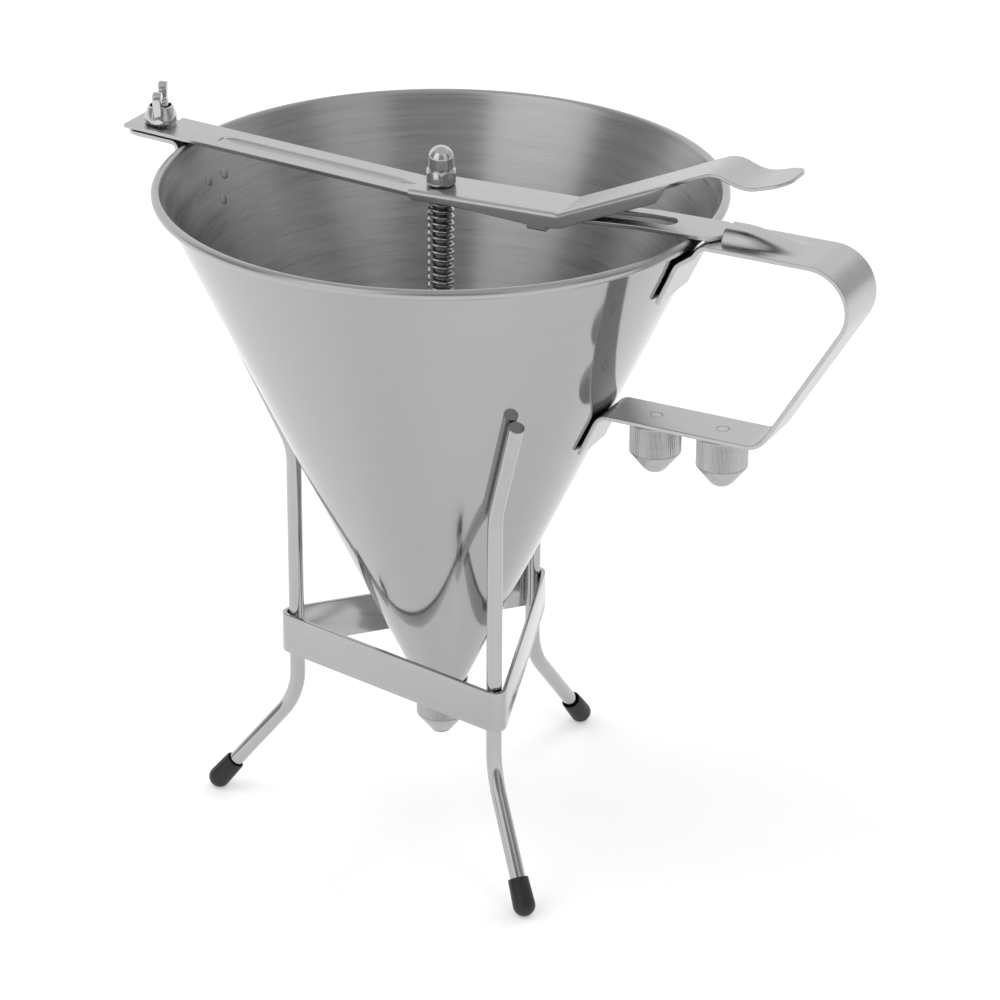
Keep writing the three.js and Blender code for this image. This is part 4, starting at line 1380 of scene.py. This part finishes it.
def buildFloor():
    floor = added(bpy.ops.mesh.primitive_plane_add, "floor", size=studio["floorSize"])
    floor.location.z = -studio["floorDrop"]
    material = bpy.data.materials.new("floorPaper")
    tree = emptyTree(material)
    paper = output(tree, "BsdfDiffuse", {"Color": (*(studio["floorTone"],) * 3, 1)})
    seen = seenBy(tree, "Is Camera Ray", "Is Glossy Ray", "Is Transmission Ray")
    strength = maths(tree, "MULTIPLY", seen, studio["floorLift"])
    lift = output(tree, "Emission", {"Color": white, "Strength": strength})
    addNode(tree, "OutputMaterial", {0: output(tree, "AddShader", {0: paper, 1: lift})})
    floor.data.materials.append(material)


# a dark room behind the camera, a pale sweep behind the object, white under the horizon
def buildRoom():
    world = bpy.data.worlds.new("studio")
    bpy.context.scene.world = world
    tree = emptyTree(world)
    heading, height = headingAndHeight(tree, addNode(tree, "TexCoord", {}).outputs["Generated"])

    def ease(value, low, high):
        inputs = {"Value": value, "From Min": low, "From Max": high, "To Min": 0.0, "To Max": 1.0}
        return output(tree, "MapRange", inputs, interpolation_type="SMOOTHSTEP")

    # 1 inside a range of headings, 0 outside it, with a soft edge
    def towards(way, half, edge):
        turn = radians(way)
        inputs = {0: heading, 1: (cos(turn), sin(turn), 0)}
        dot = addNode(tree, "VectorMath", inputs, operation="DOT_PRODUCT").outputs["Value"]
        outside, inside = radians(half + edge), radians(half - edge)
        return ease(dot, cos(outside), cos(inside))

    # from one value to another as the share goes from 0 to 1
    def blend(first, second, share):
        kept = maths(tree, "MULTIPLY", first, maths(tree, "SUBTRACT", 1.0, share))
        return maths(tree, "MULTIPLY_ADD", second, share, kept)

    wall = blend(studio["sweep"], studio["dark"], towards(*studio["darkSide"]))
    start, end, ceiling = studio["ceiling"]
    total = blend(wall, 1.0, ease(height, *studio["horizon"]))
    total = blend(total, ceiling, ease(height, start, end))
    soft, softTop = studio["panelEdge"]
    for way, half, edge, bottom, top, strength in studio["panels"]:
        under = ease(height, bottom - soft, bottom + soft)
        over = ease(height, top + softTop, top - softTop)
        across = maths(tree, "MULTIPLY", under, over)
        panel = maths(tree, "MULTIPLY", towards(way, half, edge), across)
        total = maths(tree, "MULTIPLY_ADD", panel, strength, total)
    room = output(tree, "Background", {"Color": white, "Strength": total})
    plain = output(tree, "Background", {"Color": white, "Strength": 1.0})
    seen = seenBy(tree, "Is Camera Ray", "Is Transmission Ray")
    addNode(tree, "OutputWorld", {0: output(tree, "MixShader", {0: seen, 1: room, 2: plain})})


# the turn that looks from one place at another
def lookAt(place, aim):
    return (Vector(aim) - Vector(place)).to_track_quat("-Z", "Y").to_matrix()


def buildLamps():
    for number, (place, size, power) in enumerate(studio["lamps"]):
        data = bpy.data.lights.new(f"softbox{number}", "AREA")
        data.shape = "RECTANGLE"
        data.size = size
        data.size_y = size * studio["lampShape"]
        data.energy = power
        lamp = linked(data.name, data)
        lamp.location = place
        lamp.rotation_euler = lookAt(place, studio["lampAim"]).to_euler()
        # steel mirrors the room, and not the lamps that light the floor
        lamp.visible_glossy = False


view = {
    **inMm(eye=(564.86, -1093.98, 707.24), aim=(5.66, 1.73, 127.32)),
    "roll": radians(0.38), "lens": 139.23, "sensor": 36, "clip": (0.05, 50),
}


def buildCamera():
    data = bpy.data.cameras.new("camera")
    data.lens = view["lens"]
    data.sensor_width = view["sensor"]
    data.clip_start, data.clip_end = view["clip"]
    camera = linked("camera", data)
    camera.location = view["eye"]
    turn = lookAt(view["eye"], view["aim"]) @ Matrix.Rotation(view["roll"], 3, "Z")
    camera.rotation_euler = turn.to_euler()
    bpy.context.scene.camera = camera


buildFloor()
buildRoom()
buildLamps()
buildCamera()
bpy.context.scene.view_settings.view_transform = "Standard"
print("studio made")
